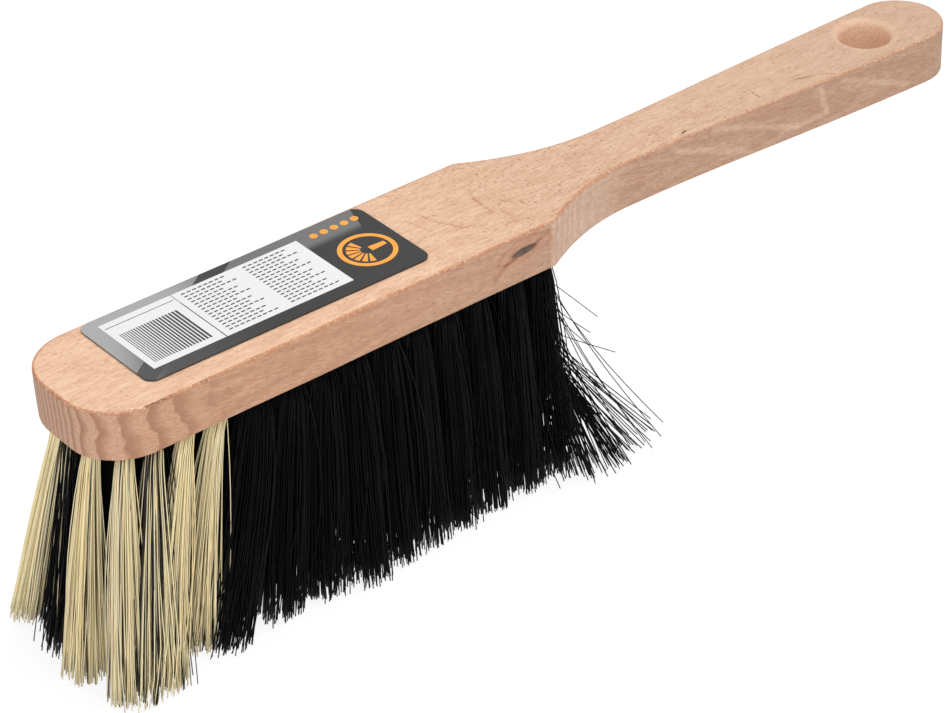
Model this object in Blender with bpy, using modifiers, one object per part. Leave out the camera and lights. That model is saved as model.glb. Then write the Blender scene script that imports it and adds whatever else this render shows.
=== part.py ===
"""Hand brush: one beech plank is both block and handle, with tufts set in blind holes.

Lengths are metres. +X runs from the toe of the block to the end of the handle, +Y is the far
side and +Z is up. The trimmed tips of the tufts stand on Z = 0, and the origin lies under the
middle of the whole brush.
"""

import math

import bmesh
import bpy
from mathutils import Matrix, Vector

# Plank
OVERALL_LENGTH = 0.290
PLANK_THICKNESS = 0.0138
BLOCK_LENGTH = 0.1374
BLOCK_WIDTH = 0.0405
TOE_CORNER_RADIUS = 0.0155
SHOULDER_RUN = 0.0368
NECK_WIDTH = 0.0194
GRIP_WIDTH = 0.0260
EASED_EDGE = 0.0012
EASED_EDGE_STEPS = 3
OUTLINE_STEPS = 8
SHOULDER_START_SHARES = (0.24, 0.495)
SHOULDER_END_SHARE = 0.57
GRIP_SWELL_SHARES = (0.30, 0.70)

# Hang hole
HANG_HOLE_DIAMETER = 0.0140
HANG_HOLE_RIM_RADIUS = 0.0022
HANG_HOLE_FROM_END = 0.0248
HANG_HOLE_STEPS = 32
HANG_RIM_STEPS = 4

# Tufts and the blind holes that hold them
TUFT_FREE_LENGTH = 0.0604
TUFT_DIAMETER = 0.0052
TUFT_HOLE_DEPTH = 0.0090
TUFT_HOLE_SIDES = 12
TUFTS_PER_SIDE = 13
TOE_GAPS = 3
CREAM_SIDE_TUFTS = 3
RIM_INSET = 0.0050
HEEL_INSET = 0.0020
SIDE_ROW_START = 0.0030
CORE_ROW_SPACING = 0.0100
STRANDS_PER_TUFT = 7
STRAND_GAP = 0.0004
STRAND_LEVEL_SHARES = (0.45, 1.0)

# How far the tips of a tuft stand out from its root
TOE_SWEEP = 0.0140
TOE_SWEEP_POWER = 1.3
HEEL_SWEEP = 0.0040
HEEL_SWEEP_POWER = 6
SIDE_SWEEP = 0.0060
CORNER_SWEEP = 0.0140
CORNER_REACH = 0.0450
SWEEP_BEND_POWER = 1.25
TIP_RING_DIAMETER = 0.0064

# Label
LABEL_LENGTH = 0.0855
LABEL_WIDTH = 0.0315
LABEL_THICKNESS = 0.0002
LABEL_FROM_TOE = 0.0195
LABEL_EDGE_MARGIN = 0.0002
LABEL_CORNER_RADIUS = 0.0030
LABEL_CORNER_STEPS = 5

# Fits
SEAT_CLEARANCE = 0.0003
CUT_OVERRUN = 0.0020
WELD_DISTANCE = 0.00001

CIRCLE_HANDLE_SHARE = 4.0 / 3.0 * math.tan(math.pi / 8.0)
FLAT_ANGLE = math.radians(0.4)
EASED_ANGLE = math.radians(60.0)
SHARP_ANGLE = math.radians(40.0)

BLOCK_HALF_WIDTH = BLOCK_WIDTH / 2.0
HEEL_TUFT_X = BLOCK_LENGTH - HEEL_INSET
FIRST_SIDE_TUFT_X = TOE_CORNER_RADIUS + SIDE_ROW_START
TUFT_PITCH = (HEEL_TUFT_X - FIRST_SIDE_TUFT_X) / (TUFTS_PER_SIDE - 1)
RIM_ROW_Y = BLOCK_HALF_WIDTH - RIM_INSET
TUFT_HOLE_RADIUS = (TUFT_DIAMETER / 2.0 + SEAT_CLEARANCE) / math.cos(math.pi / TUFT_HOLE_SIDES)
UNDERSIDE_Z = TUFT_FREE_LENGTH
TOP_Z = TUFT_FREE_LENGTH + PLANK_THICKNESS


def clear_scene():
    """Removes every object, so that the model starts from nothing."""
    for obj in list(bpy.data.objects):
        bpy.data.objects.remove(obj, do_unlink=True)


def make_collection(name):
    """A new collection in the scene."""
    collection = bpy.data.collections.new(name)
    bpy.context.scene.collection.children.link(collection)
    return collection


def make_material(name, colour, roughness):
    """A non-metal Principled material."""
    material = bpy.data.materials.new(name)
    material.use_nodes = True
    shader = material.node_tree.nodes["Principled BSDF"]
    shader.inputs["Base Color"].default_value = (*colour, 1.0)
    shader.inputs["Roughness"].default_value = roughness
    shader.inputs["Metallic"].default_value = 0.0
    material.diffuse_color = (*colour, 1.0)
    return material


def beech():
    """Unvarnished steamed beech, pale pinkish brown."""
    return make_material("beech", (0.66, 0.42, 0.27), 0.62)


def cream_filament():
    """Straw-coloured plastic filament."""
    return make_material("cream_filament", (0.75, 0.62, 0.34), 0.45)


def black_filament():
    """Black plastic filament."""
    return make_material("black_filament", (0.008, 0.008, 0.010), 0.42)


def label_film():
    """Dark grey printed film."""
    return make_material("label_film", (0.055, 0.055, 0.058), 0.35)


def add_object(name, mesh, collection, parent, material):
    """Puts a mesh in the scene under the brush's empty, with its material."""
    obj = bpy.data.objects.new(name, mesh)
    collection.objects.link(obj)
    obj.parent = parent
    mesh.materials.clear()
    mesh.materials.append(material)
    return obj


def add_cutter(name, mesh, collection, parent):
    """A solid that only cuts: it shows as wire and is left out of a render."""
    obj = bpy.data.objects.new(name, mesh)
    collection.objects.link(obj)
    obj.parent = parent
    obj.hide_render = True
    obj.display_type = "WIRE"
    return obj


def cut(obj, cutter):
    """Takes the cutter's shape out of the object."""
    boolean = obj.modifiers.new(f"cut_{cutter.name}", "BOOLEAN")
    boolean.operation = "DIFFERENCE"
    boolean.object = cutter
    boolean.solver = "EXACT"


def flat_plate(name, anchors, thickness, steps):
    """The mesh of a flat plate, from anchors of (point, handle before, handle after) round its edge."""
    curve = bpy.data.curves.new(name, "CURVE")
    curve.dimensions = "2D"
    curve.fill_mode = "BOTH"
    curve.extrude = thickness / 2.0
    curve.resolution_u = steps
    spline = curve.splines.new("BEZIER")
    spline.bezier_points.add(len(anchors) - 1)
    spline.use_cyclic_u = True
    for bezier_point, (point, before, after) in zip(spline.bezier_points, anchors):
        bezier_point.handle_left_type = "FREE"
        bezier_point.handle_right_type = "FREE"
        bezier_point.co = (*point, 0.0)
        bezier_point.handle_left = (*before, 0.0)
        bezier_point.handle_right = (*after, 0.0)
    guide = bpy.data.objects.new(f"{name}_outline", curve)
    bpy.context.scene.collection.objects.link(guide)
    bpy.context.view_layer.update()
    evaluated = guide.evaluated_get(bpy.context.evaluated_depsgraph_get())
    mesh = bpy.data.meshes.new_from_object(evaluated)
    bpy.data.objects.remove(guide, do_unlink=True)
    bpy.data.curves.remove(curve)
    mesh.name = name
    bm = bmesh.new()
    bm.from_mesh(mesh)
    bmesh.ops.remove_doubles(bm, verts=bm.verts, dist=WELD_DISTANCE)
    bmesh.ops.dissolve_limit(bm, angle_limit=FLAT_ANGLE, verts=bm.verts, edges=bm.edges)
    bmesh.ops.recalc_face_normals(bm, faces=bm.faces)
    bm.to_mesh(mesh)
    bm.free()
    return mesh


def mirrored_anchors(anchors):
    """The same edge on the near side, in the order that carries the outline on round."""
    return [
        ((x, -y), (after[0], -after[1]), (before[0], -before[1]))
        for (x, y), before, after in reversed(anchors)
    ]


def plank_anchors():
    """Outline of the plank from the far corner of the toe, round the end of the handle and back."""
    toe_handle = TOE_CORNER_RADIUS * CIRCLE_HANDLE_SHARE
    toe = (0.0, BLOCK_HALF_WIDTH - TOE_CORNER_RADIUS)
    side = (TOE_CORNER_RADIUS, BLOCK_HALF_WIDTH)
    shoulder = (BLOCK_LENGTH, BLOCK_HALF_WIDTH)
    neck = (BLOCK_LENGTH + SHOULDER_RUN, NECK_WIDTH / 2.0)
    drop = shoulder[1] - neck[1]
    run_share, drop_share = SHOULDER_START_SHARES
    shoulder_after = (shoulder[0] + SHOULDER_RUN * run_share, shoulder[1] - drop * drop_share)
    neck_before = (shoulder[0] + SHOULDER_RUN * SHOULDER_END_SHARE, neck[1])
    end_radius = GRIP_WIDTH / 2.0
    grip = (OVERALL_LENGTH - end_radius, end_radius)
    swell = grip[0] - neck[0]
    neck_after = (neck[0] + swell * GRIP_SWELL_SHARES[0], neck[1])
    grip_before = (neck[0] + swell * GRIP_SWELL_SHARES[1], grip[1])
    end_handle = end_radius * CIRCLE_HANDLE_SHARE
    far_side = [
        (toe, toe, (toe[0], toe[1] + toe_handle)),
        (side, (side[0] - toe_handle, side[1]), side),
        (shoulder, shoulder, shoulder_after),
        (neck, neck_before, neck_after),
        (grip, grip_before, (grip[0] + end_handle, grip[1])),
    ]
    end = ((OVERALL_LENGTH, 0.0), (OVERALL_LENGTH, end_handle), (OVERALL_LENGTH, -end_handle))
    return far_side + [end] + mirrored_anchors(far_side)


def label_anchors():
    """Outline of the label, a rectangle with rounded corners, centred on its own middle."""
    half_length = LABEL_LENGTH / 2.0
    half_width = LABEL_WIDTH / 2.0
    radius = LABEL_CORNER_RADIUS
    handle = radius * (1.0 - CIRCLE_HANDLE_SHARE)
    anchors = []
    for sign_x, sign_y in ((-1.0, 1.0), (1.0, 1.0), (1.0, -1.0), (-1.0, -1.0)):
        corner_x = sign_x * half_length
        corner_y = sign_y * half_width
        on_end = (corner_x, corner_y - sign_y * radius)
        on_side = (corner_x - sign_x * radius, corner_y)
        end_handle = (corner_x, corner_y - sign_y * handle)
        side_handle = (corner_x - sign_x * handle, corner_y)
        if sign_x * sign_y < 0.0:
            anchors += [(on_end, on_end, end_handle), (on_side, side_handle, on_side)]
        else:
            anchors += [(on_side, on_side, side_handle), (on_end, end_handle, on_end)]
    return anchors


def rim_place(distance):
    """The place that lies this far from the middle of the toe, along the line of the rim tufts."""
    toe_straight = BLOCK_HALF_WIDTH - TOE_CORNER_RADIUS
    arc_radius = TOE_CORNER_RADIUS - RIM_INSET
    arc_length = arc_radius * math.pi / 2.0
    if distance <= toe_straight:
        return (RIM_INSET, distance)
    if distance <= toe_straight + arc_length:
        angle = (distance - toe_straight) / arc_radius
        x = TOE_CORNER_RADIUS - arc_radius * math.cos(angle)
        return (x, toe_straight + arc_radius * math.sin(angle))
    return (TOE_CORNER_RADIUS + distance - toe_straight - arc_length, RIM_ROW_Y)


def rim_holes():
    """Holes round the edge of the block, from the near heel round the toe to the far heel."""
    toe_straight = BLOCK_HALF_WIDTH - TOE_CORNER_RADIUS
    arc_length = (TOE_CORNER_RADIUS - RIM_INSET) * math.pi / 2.0
    toe_pitch = (toe_straight + arc_length + SIDE_ROW_START) / TOE_GAPS
    half = [rim_place(toe_pitch * step) for step in range(1, TOE_GAPS)]
    half += [(FIRST_SIDE_TUFT_X + TUFT_PITCH * step, RIM_ROW_Y) for step in range(TUFTS_PER_SIDE)]
    near = [(x, -y) for x, y in reversed(half)]
    return near + [rim_place(0.0)] + half


def core_holes(side):
    """Holes of one inner row, set half a pitch ahead of the outer row beside it."""
    return [
        (FIRST_SIDE_TUFT_X + TUFT_PITCH * (step - 0.5), side * CORE_ROW_SPACING / 2.0)
        for step in range(TUFTS_PER_SIDE)
    ]


def tuft_lean(place):
    """How far the tips stand from the root: forward at the toe, back at the heel, out at the sides."""
    x, y = place
    toward_toe = (HEEL_TUFT_X - x) / (HEEL_TUFT_X - RIM_INSET)
    toward_toe = min(max(toward_toe, 0.0), 1.0)
    forward = TOE_SWEEP * toward_toe**TOE_SWEEP_POWER
    back = HEEL_SWEEP * (1.0 - toward_toe) ** HEEL_SWEEP_POWER
    near_corner = max(0.0, 1.0 - (x - RIM_INSET) / CORNER_REACH)
    side = y / RIM_ROW_Y
    outward = side * (SIDE_SWEEP + CORNER_SWEEP * near_corner**2 * abs(side))
    return Vector((back - forward, outward, 0.0))


def tuft_axis(lean, share):
    """Centre of the tuft at this share of its free length, bending outwards toward the tips."""
    return lean * share**SWEEP_BEND_POWER - Vector((0.0, 0.0, TUFT_FREE_LENGTH * share))


def tuft_mesh(name, lean):
    """A packed root with its strands, from the mouth of the hole at Z = 0 down to the tips."""
    root_height = TUFT_HOLE_DEPTH - SEAT_CLEARANCE
    bm = bmesh.new()
    bmesh.ops.create_cone(
        bm,
        cap_ends=True,
        cap_tris=True,
        segments=STRANDS_PER_TUFT,
        radius1=TUFT_DIAMETER / 2.0,
        radius2=TUFT_DIAMETER / 2.0,
        depth=root_height,
        matrix=Matrix.Translation((0.0, 0.0, root_height / 2.0)) @ Matrix.Rotation(-math.pi / 2.0, 4, "Z"),
    )
    bm.faces.ensure_lookup_table()
    ends = [face for face in bm.faces if face.calc_center_median().z < root_height / 4.0]
    ends = [face for face in ends if abs(face.normal.z) > 0.5]
    bmesh.ops.inset_individual(bm, faces=ends, thickness=STRAND_GAP / 2.0, use_even_offset=True)
    before = Vector((0.0, 0.0, 0.0))
    root_ring = (ends[0].calc_center_median() - before).length
    for share in STRAND_LEVEL_SHARES:
        after = tuft_axis(lean, share)
        ring = root_ring + (TIP_RING_DIAMETER / 2.0 - root_ring) * share
        ends = bmesh.ops.extrude_discrete_faces(bm, faces=ends)["faces"]
        for face in ends:
            centre = face.calc_center_median()
            outward = (centre - before).normalized()
            bmesh.ops.translate(bm, verts=face.verts, vec=after + outward * ring - centre)
        before = after
    bmesh.ops.recalc_face_normals(bm, faces=bm.faces)
    mesh = bpy.data.meshes.new(name)
    bm.to_mesh(mesh)
    bm.free()
    return mesh


def make_tuft(name, place, collection, parent, material):
    """One tuft, with its origin in the mouth of its hole."""
    tuft = add_object(name, tuft_mesh(name, tuft_lean(place)), collection, parent, material)
    tuft.location = (*place, UNDERSIDE_Z)
    return tuft


def tuft_hole_cutter(holes, collection, parent):
    """All the blind holes in the underside, as one cutter."""
    height = TUFT_HOLE_DEPTH + CUT_OVERRUN
    middle_z = UNDERSIDE_Z + TUFT_HOLE_DEPTH - height / 2.0
    bm = bmesh.new()
    for x, y in holes:
        bmesh.ops.create_cone(
            bm,
            cap_ends=True,
            segments=TUFT_HOLE_SIDES,
            radius1=TUFT_HOLE_RADIUS,
            radius2=TUFT_HOLE_RADIUS,
            depth=height,
            matrix=Matrix.Translation((x, y, middle_z)),
        )
    mesh = bpy.data.meshes.new("tuft_holes")
    bm.to_mesh(mesh)
    bm.free()
    return add_cutter("tuft_holes", mesh, collection, parent)


def hang_hole_profile():
    """Profile of the hang hole with its rounded rims, from the axis on top to the axis below."""
    bore = HANG_HOLE_DIAMETER / 2.0
    rim = HANG_HOLE_RIM_RADIUS
    half = PLANK_THICKNESS / 2.0
    upper = [(0.0, half + CUT_OVERRUN), (bore + rim, half + CUT_OVERRUN)]
    for step in range(HANG_RIM_STEPS + 1):
        angle = math.pi / 2.0 * (1.0 - step / HANG_RIM_STEPS)
        upper.append((bore + rim - rim * math.cos(angle), half - rim + rim * math.sin(angle)))
    return upper + [(radius, -z) for radius, z in reversed(upper)]


def hang_hole_cutter(collection, parent):
    """The turned shape that leaves a through hole with rounded rims."""
    bm = bmesh.new()
    verts = [bm.verts.new((radius, 0.0, z)) for radius, z in hang_hole_profile()]
    for first, second in zip(verts, verts[1:]):
        bm.edges.new((first, second))
    mesh = bpy.data.meshes.new("hang_hole")
    bm.to_mesh(mesh)
    bm.free()
    cutter = add_cutter("hang_hole", mesh, collection, parent)
    cutter.location = (OVERALL_LENGTH - HANG_HOLE_FROM_END, 0.0, UNDERSIDE_Z + PLANK_THICKNESS / 2.0)
    screw = cutter.modifiers.new("turned", "SCREW")
    screw.axis = "Z"
    screw.angle = 2.0 * math.pi
    screw.steps = HANG_HOLE_STEPS
    screw.render_steps = HANG_HOLE_STEPS
    screw.use_merge_vertices = True
    screw.merge_threshold = WELD_DISTANCE
    return cutter


def make_wooden_body(collection, cutters, parent, holes):
    """Block and handle in one plank, with eased edges, tuft holes and the hang hole."""
    mesh = flat_plate("wooden_body", plank_anchors(), PLANK_THICKNESS, OUTLINE_STEPS)
    mesh.shade_smooth()
    mesh.set_sharp_from_angle(angle=SHARP_ANGLE)
    body = add_object("wooden_body", mesh, collection, parent, beech())
    body.location = (0.0, 0.0, UNDERSIDE_Z + PLANK_THICKNESS / 2.0)
    ease = body.modifiers.new("eased_edges", "BEVEL")
    ease.width = EASED_EDGE
    ease.segments = EASED_EDGE_STEPS
    ease.limit_method = "ANGLE"
    ease.angle_limit = EASED_ANGLE
    ease.harden_normals = False
    cut(body, hang_hole_cutter(cutters, parent))
    cut(body, tuft_hole_cutter(holes, cutters, parent))
    return body


def make_label(collection, parent):
    """Printed film on top of the block, flush with the start of the far eased edge."""
    mesh = flat_plate("label_sticker", label_anchors(), LABEL_THICKNESS, LABEL_CORNER_STEPS)
    label = add_object("label_sticker", mesh, collection, parent, label_film())
    far_edge = BLOCK_HALF_WIDTH - EASED_EDGE - LABEL_EDGE_MARGIN
    label.location = (
        LABEL_FROM_TOE + LABEL_LENGTH / 2.0,
        far_edge - LABEL_WIDTH / 2.0,
        TOP_Z + SEAT_CLEARANCE + LABEL_THICKNESS / 2.0,
    )
    return label


def make_tufts(collection, parent):
    """Every tuft: the rim row with its cream toe, and the two inner rows. Returns their places."""
    cream = cream_filament()
    black = black_filament()
    rim = rim_holes()
    middle = len(rim) // 2
    cream_span = TOE_GAPS - 1 + CREAM_SIDE_TUFTS
    for number, place in enumerate(rim):
        steps_from_middle = abs(number - middle)
        material = cream if 0 < steps_from_middle <= cream_span else black
        make_tuft(f"rim_tuft_{number + 1:02d}", place, collection, parent, material)
    near_core = core_holes(-1.0)
    far_core = core_holes(1.0)
    for name, row in (("near_core_tuft", near_core), ("far_core_tuft", far_core)):
        for number, place in enumerate(row):
            make_tuft(f"{name}_{number + 1:02d}", place, collection, parent, black)
    return rim + near_core + far_core


def centre_over_origin(root, collection):
    """Moves the brush so that the middle of its footprint is at the origin."""
    bpy.context.view_layer.update()
    graph = bpy.context.evaluated_depsgraph_get()
    corners = []
    for obj in collection.objects:
        if obj.type == "MESH":
            evaluated = obj.evaluated_get(graph)
            corners += [evaluated.matrix_world @ Vector(corner) for corner in evaluated.bound_box]
    lowest = Vector([min(corner[axis] for corner in corners) for axis in range(3)])
    highest = Vector([max(corner[axis] for corner in corners) for axis in range(3)])
    middle = (lowest + highest) / 2.0
    root.location = (-middle.x, -middle.y, -lowest.z)


def main():
    clear_scene()
    brush = make_collection("hand_brush")
    cutters = make_collection("cutters")
    cutters.hide_render = True
    root = bpy.data.objects.new("hand_brush_frame", None)
    brush.objects.link(root)
    holes = make_tufts(brush, root)
    make_wooden_body(brush, cutters, root, holes)
    make_label(brush, root)
    centre_over_origin(root, brush)


main()
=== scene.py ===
"""Looks of the hand brush: its beech plank, its printed label, its filaments and the stage.

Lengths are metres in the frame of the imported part. +X runs from the toe of the block to the end
of the handle, +Y is the far side and +Z is up. The tips of the filaments stand on Z = 0.
"""

import math
from functools import partialmethod

import bmesh
import bpy
import numpy as np
from bpy.props import FloatProperty, FloatVectorProperty, IntProperty, PointerProperty
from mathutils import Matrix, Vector
from mathutils.geometry import delaunay_2d_cdt, interpolate_bezier


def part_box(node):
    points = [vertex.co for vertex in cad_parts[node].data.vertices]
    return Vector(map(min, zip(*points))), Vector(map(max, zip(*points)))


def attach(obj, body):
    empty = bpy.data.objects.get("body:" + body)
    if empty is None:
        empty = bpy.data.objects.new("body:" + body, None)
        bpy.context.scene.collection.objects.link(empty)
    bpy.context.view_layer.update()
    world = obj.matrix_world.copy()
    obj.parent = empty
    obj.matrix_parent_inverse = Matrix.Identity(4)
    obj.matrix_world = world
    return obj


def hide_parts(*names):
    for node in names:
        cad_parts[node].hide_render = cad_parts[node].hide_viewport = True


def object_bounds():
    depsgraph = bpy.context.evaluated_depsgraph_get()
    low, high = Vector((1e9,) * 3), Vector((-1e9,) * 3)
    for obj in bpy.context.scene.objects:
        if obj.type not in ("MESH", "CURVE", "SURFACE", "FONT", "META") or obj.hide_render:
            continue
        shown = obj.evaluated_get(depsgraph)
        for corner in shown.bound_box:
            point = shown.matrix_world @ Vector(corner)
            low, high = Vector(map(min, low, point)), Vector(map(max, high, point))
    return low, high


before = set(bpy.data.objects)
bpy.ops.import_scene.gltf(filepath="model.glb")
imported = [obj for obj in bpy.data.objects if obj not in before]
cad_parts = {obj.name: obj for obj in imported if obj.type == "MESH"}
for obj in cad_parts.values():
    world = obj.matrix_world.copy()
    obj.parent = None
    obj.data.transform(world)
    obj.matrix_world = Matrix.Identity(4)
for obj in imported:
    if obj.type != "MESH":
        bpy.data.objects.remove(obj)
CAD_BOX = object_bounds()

bl_info = {
    "name": "Hand Brush",
    "version": (1, 0, 0),
    "blender": (4, 5, 0),
    "location": "3D View > Sidebar > Hand Brush",
    "description": "Builds a wooden hand brush: its plank, its label, its filaments and a plain stage",
    "category": "Add Mesh",
}

BODY = "root"
MM = 0.001
FULL_TURN = 2.0 * math.pi
CIRCLE_HANDLE = 4.0 / 3.0 * math.tan(math.pi / 8.0)

PLANK_LOW, PLANK_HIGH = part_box("wooden_body")
LABEL_LOW, LABEL_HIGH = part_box("label_sticker")
TOE_X = PLANK_LOW.x
UNDERSIDE_Z = PLANK_LOW.z
TOP_Z = PLANK_HIGH.z
HALF_WIDTH = PLANK_HIGH.y
LENGTH = PLANK_HIGH.x - PLANK_LOW.x
THICKNESS = TOP_Z - UNDERSIDE_Z


def tuft_ends(node):
    """The middle of the tuft at the mouth of its hole, and the middle of its tips."""
    points = np.array([vertex.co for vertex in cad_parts[node].data.vertices])
    top = points[points[:, 2] > points[:, 2].max() - 0.1 * MM].mean(axis=0)
    tips = points[points[:, 2] < points[:, 2].min() + 1.0 * MM].mean(axis=0)
    return Vector((top[0], top[1], UNDERSIDE_Z)), Vector(tips)


def from_mm(x, y, height=0.0):
    """A vector from millimetres along and across the brush, at a height in metres."""
    return Vector((x * MM, y * MM, height))


TUFTS = {name: tuft_ends(name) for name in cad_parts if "_tuft_" in name}
# the first rim tufts, which stand otherwise than their solids: the shift of the hole and the
# lean of the tips in millimetres, the power by which the lean grows toward the tips, the share
# of dark filaments, the spread of the tips and how loose they are
RIM_TUFTS = (
    ((1.7, 0.70), (-2.5, -5.6), 1.25, 1.00, 0.90, 1.6),
    ((1.6, 0.70), (-1.8, -6.0), 1.20, 1.00, 1.00, 1.0),
    ((0.0, 0.70), (-2.4, -6.6), 1.20, 1.00, 1.00, 1.0),
    ((0.0, 0.65), (-3.0, -7.4), 1.20, 1.00, 1.00, 1.0),
    ((0.0, 0.60), (-4.0, -8.4), 1.15, 1.00, 1.00, 1.0),
    ((0.0, 0.50), (-5.0, -8.8), 1.15, 1.00, 1.00, 1.0),
    ((0.0, 0.30), (-6.4, -11.4), 1.10, 1.00, 1.00, 1.0),
    ((0.0, 0.00), (-8.6, -7.8), 1.05, 1.00, 1.00, 1.0),
    ((0.0, 0.00), (-12.6, -6.4), 1.00, 1.00, 1.20, 1.0),
    ((0.0, 0.00), (-20.4, -9.6), 1.40, 1.00, 1.15, 1.0),
    ((0.0, 0.00), (-16.4, -5.8), 0.68, 0.04, 0.85, 1.6),
    ((0.0, 0.00), (-21.0, -13.0), 0.75, 0.06, 0.85, 1.0),
    ((0.0, 0.00), (-16.0, -15.8), 0.72, 0.54, 1.25, 3.6),
    ((0.0, 0.00), (-14.0, -13.0), 0.72, 0.14, 0.80, 1.0),
    ((0.0, 0.00), (-11.5, -4.2), 0.80, 0.07, 1.00, 1.0),
    ((1.0, 0.00), (-10.0, 0.8), 1.00, 0.90, 0.70, 2.0),
    ((2.1, -1.5), (-11.0, 10.8), 0.90, 0.00, 0.78, 1.0),
    ((0.6, -1.0), (-10.0, 7.0), 1.12, 0.04, 0.70, 1.0),
    ((0.0, -0.2), (-9.0, 8.0), 1.15, 0.50, 1.00, 1.0),
    ((0.0, -0.2), (-8.6, 9.0), 1.20, 0.06, 1.00, 1.0),
    ((0.0, 0.00), (-9.0, 9.2), 1.20, 0.10, 1.00, 1.0),
)
STANCES = {f"rim_tuft_{number:02d}": row for number, row in enumerate(RIM_TUFTS, 1)}
PUNCH_SHIFTS = {node: row[0] for node, row in STANCES.items()}
PUNCH_SHIFTS.update({"near_core_tuft_13": (3.2, -1.2), "far_core_tuft_13": (2.5, 0.0)})
for node, shift in PUNCH_SHIFTS.items():
    TUFTS[node] = (TUFTS[node][0] + from_mm(*shift), TUFTS[node][1])


def new_object(name, data):
    """An object at the origin, in the scene's own collection, in place of any earlier one."""
    old = bpy.data.objects.get(name)
    if old is not None:
        bpy.data.objects.remove(old, do_unlink=True)
    obj = bpy.data.objects.new(name, data)
    bpy.context.scene.collection.objects.link(obj)
    return obj


def mount_piece(obj, replaced=()):
    """Rides the piece on the brush, and hides the imported parts that it stands for."""
    if replaced:
        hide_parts(*replaced)
    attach(obj, BODY)


def smooth(value, low, high):
    """0 below low, 1 above high, and an even curve between them."""
    share = np.clip((value - low) / (high - low), 0.0, 1.0)
    return share * share * (3.0 - 2.0 * share)


def circle(centre, radius, sides, start=0.0, end=FULL_TURN):
    """Points round a circle or along an arc."""
    whole = abs(end - start - FULL_TURN) < 1e-6
    steps = sides if whole else sides - 1
    angles = [start + (end - start) * step / steps for step in range(sides)]
    return [(centre[0] + radius * math.cos(angle), centre[1] + radius * math.sin(angle)) for angle in angles]


def add_loop(bm, places, **marks):
    """A loop of points, with the numbers that the material reads there."""
    loop = [bm.verts.new(place) for place in places]
    for name, values in marks.items():
        mark = bm.verts.layers.float[name]
        for vert, value in zip(loop, np.broadcast_to(values, len(loop))):
            vert[mark] = value
    return loop


def skin(bm, loops, turned=False):
    """Joins each loop to the next with a row of faces."""
    for upper, under in zip(loops, loops[1:]):
        for number in range(len(upper)):
            one, two = number, (number + 1) % len(upper)
            if turned:
                one, two = two, one
            bm.faces.new((upper[one], upper[two], under[two], under[one]))


def finished_mesh(bm, name):
    """Turns every face outward and keeps the shape as a mesh."""
    bmesh.ops.recalc_face_normals(bm, faces=bm.faces)
    mesh = bpy.data.meshes.new(name)
    bm.to_mesh(mesh)
    bm.free()
    return mesh


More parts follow.
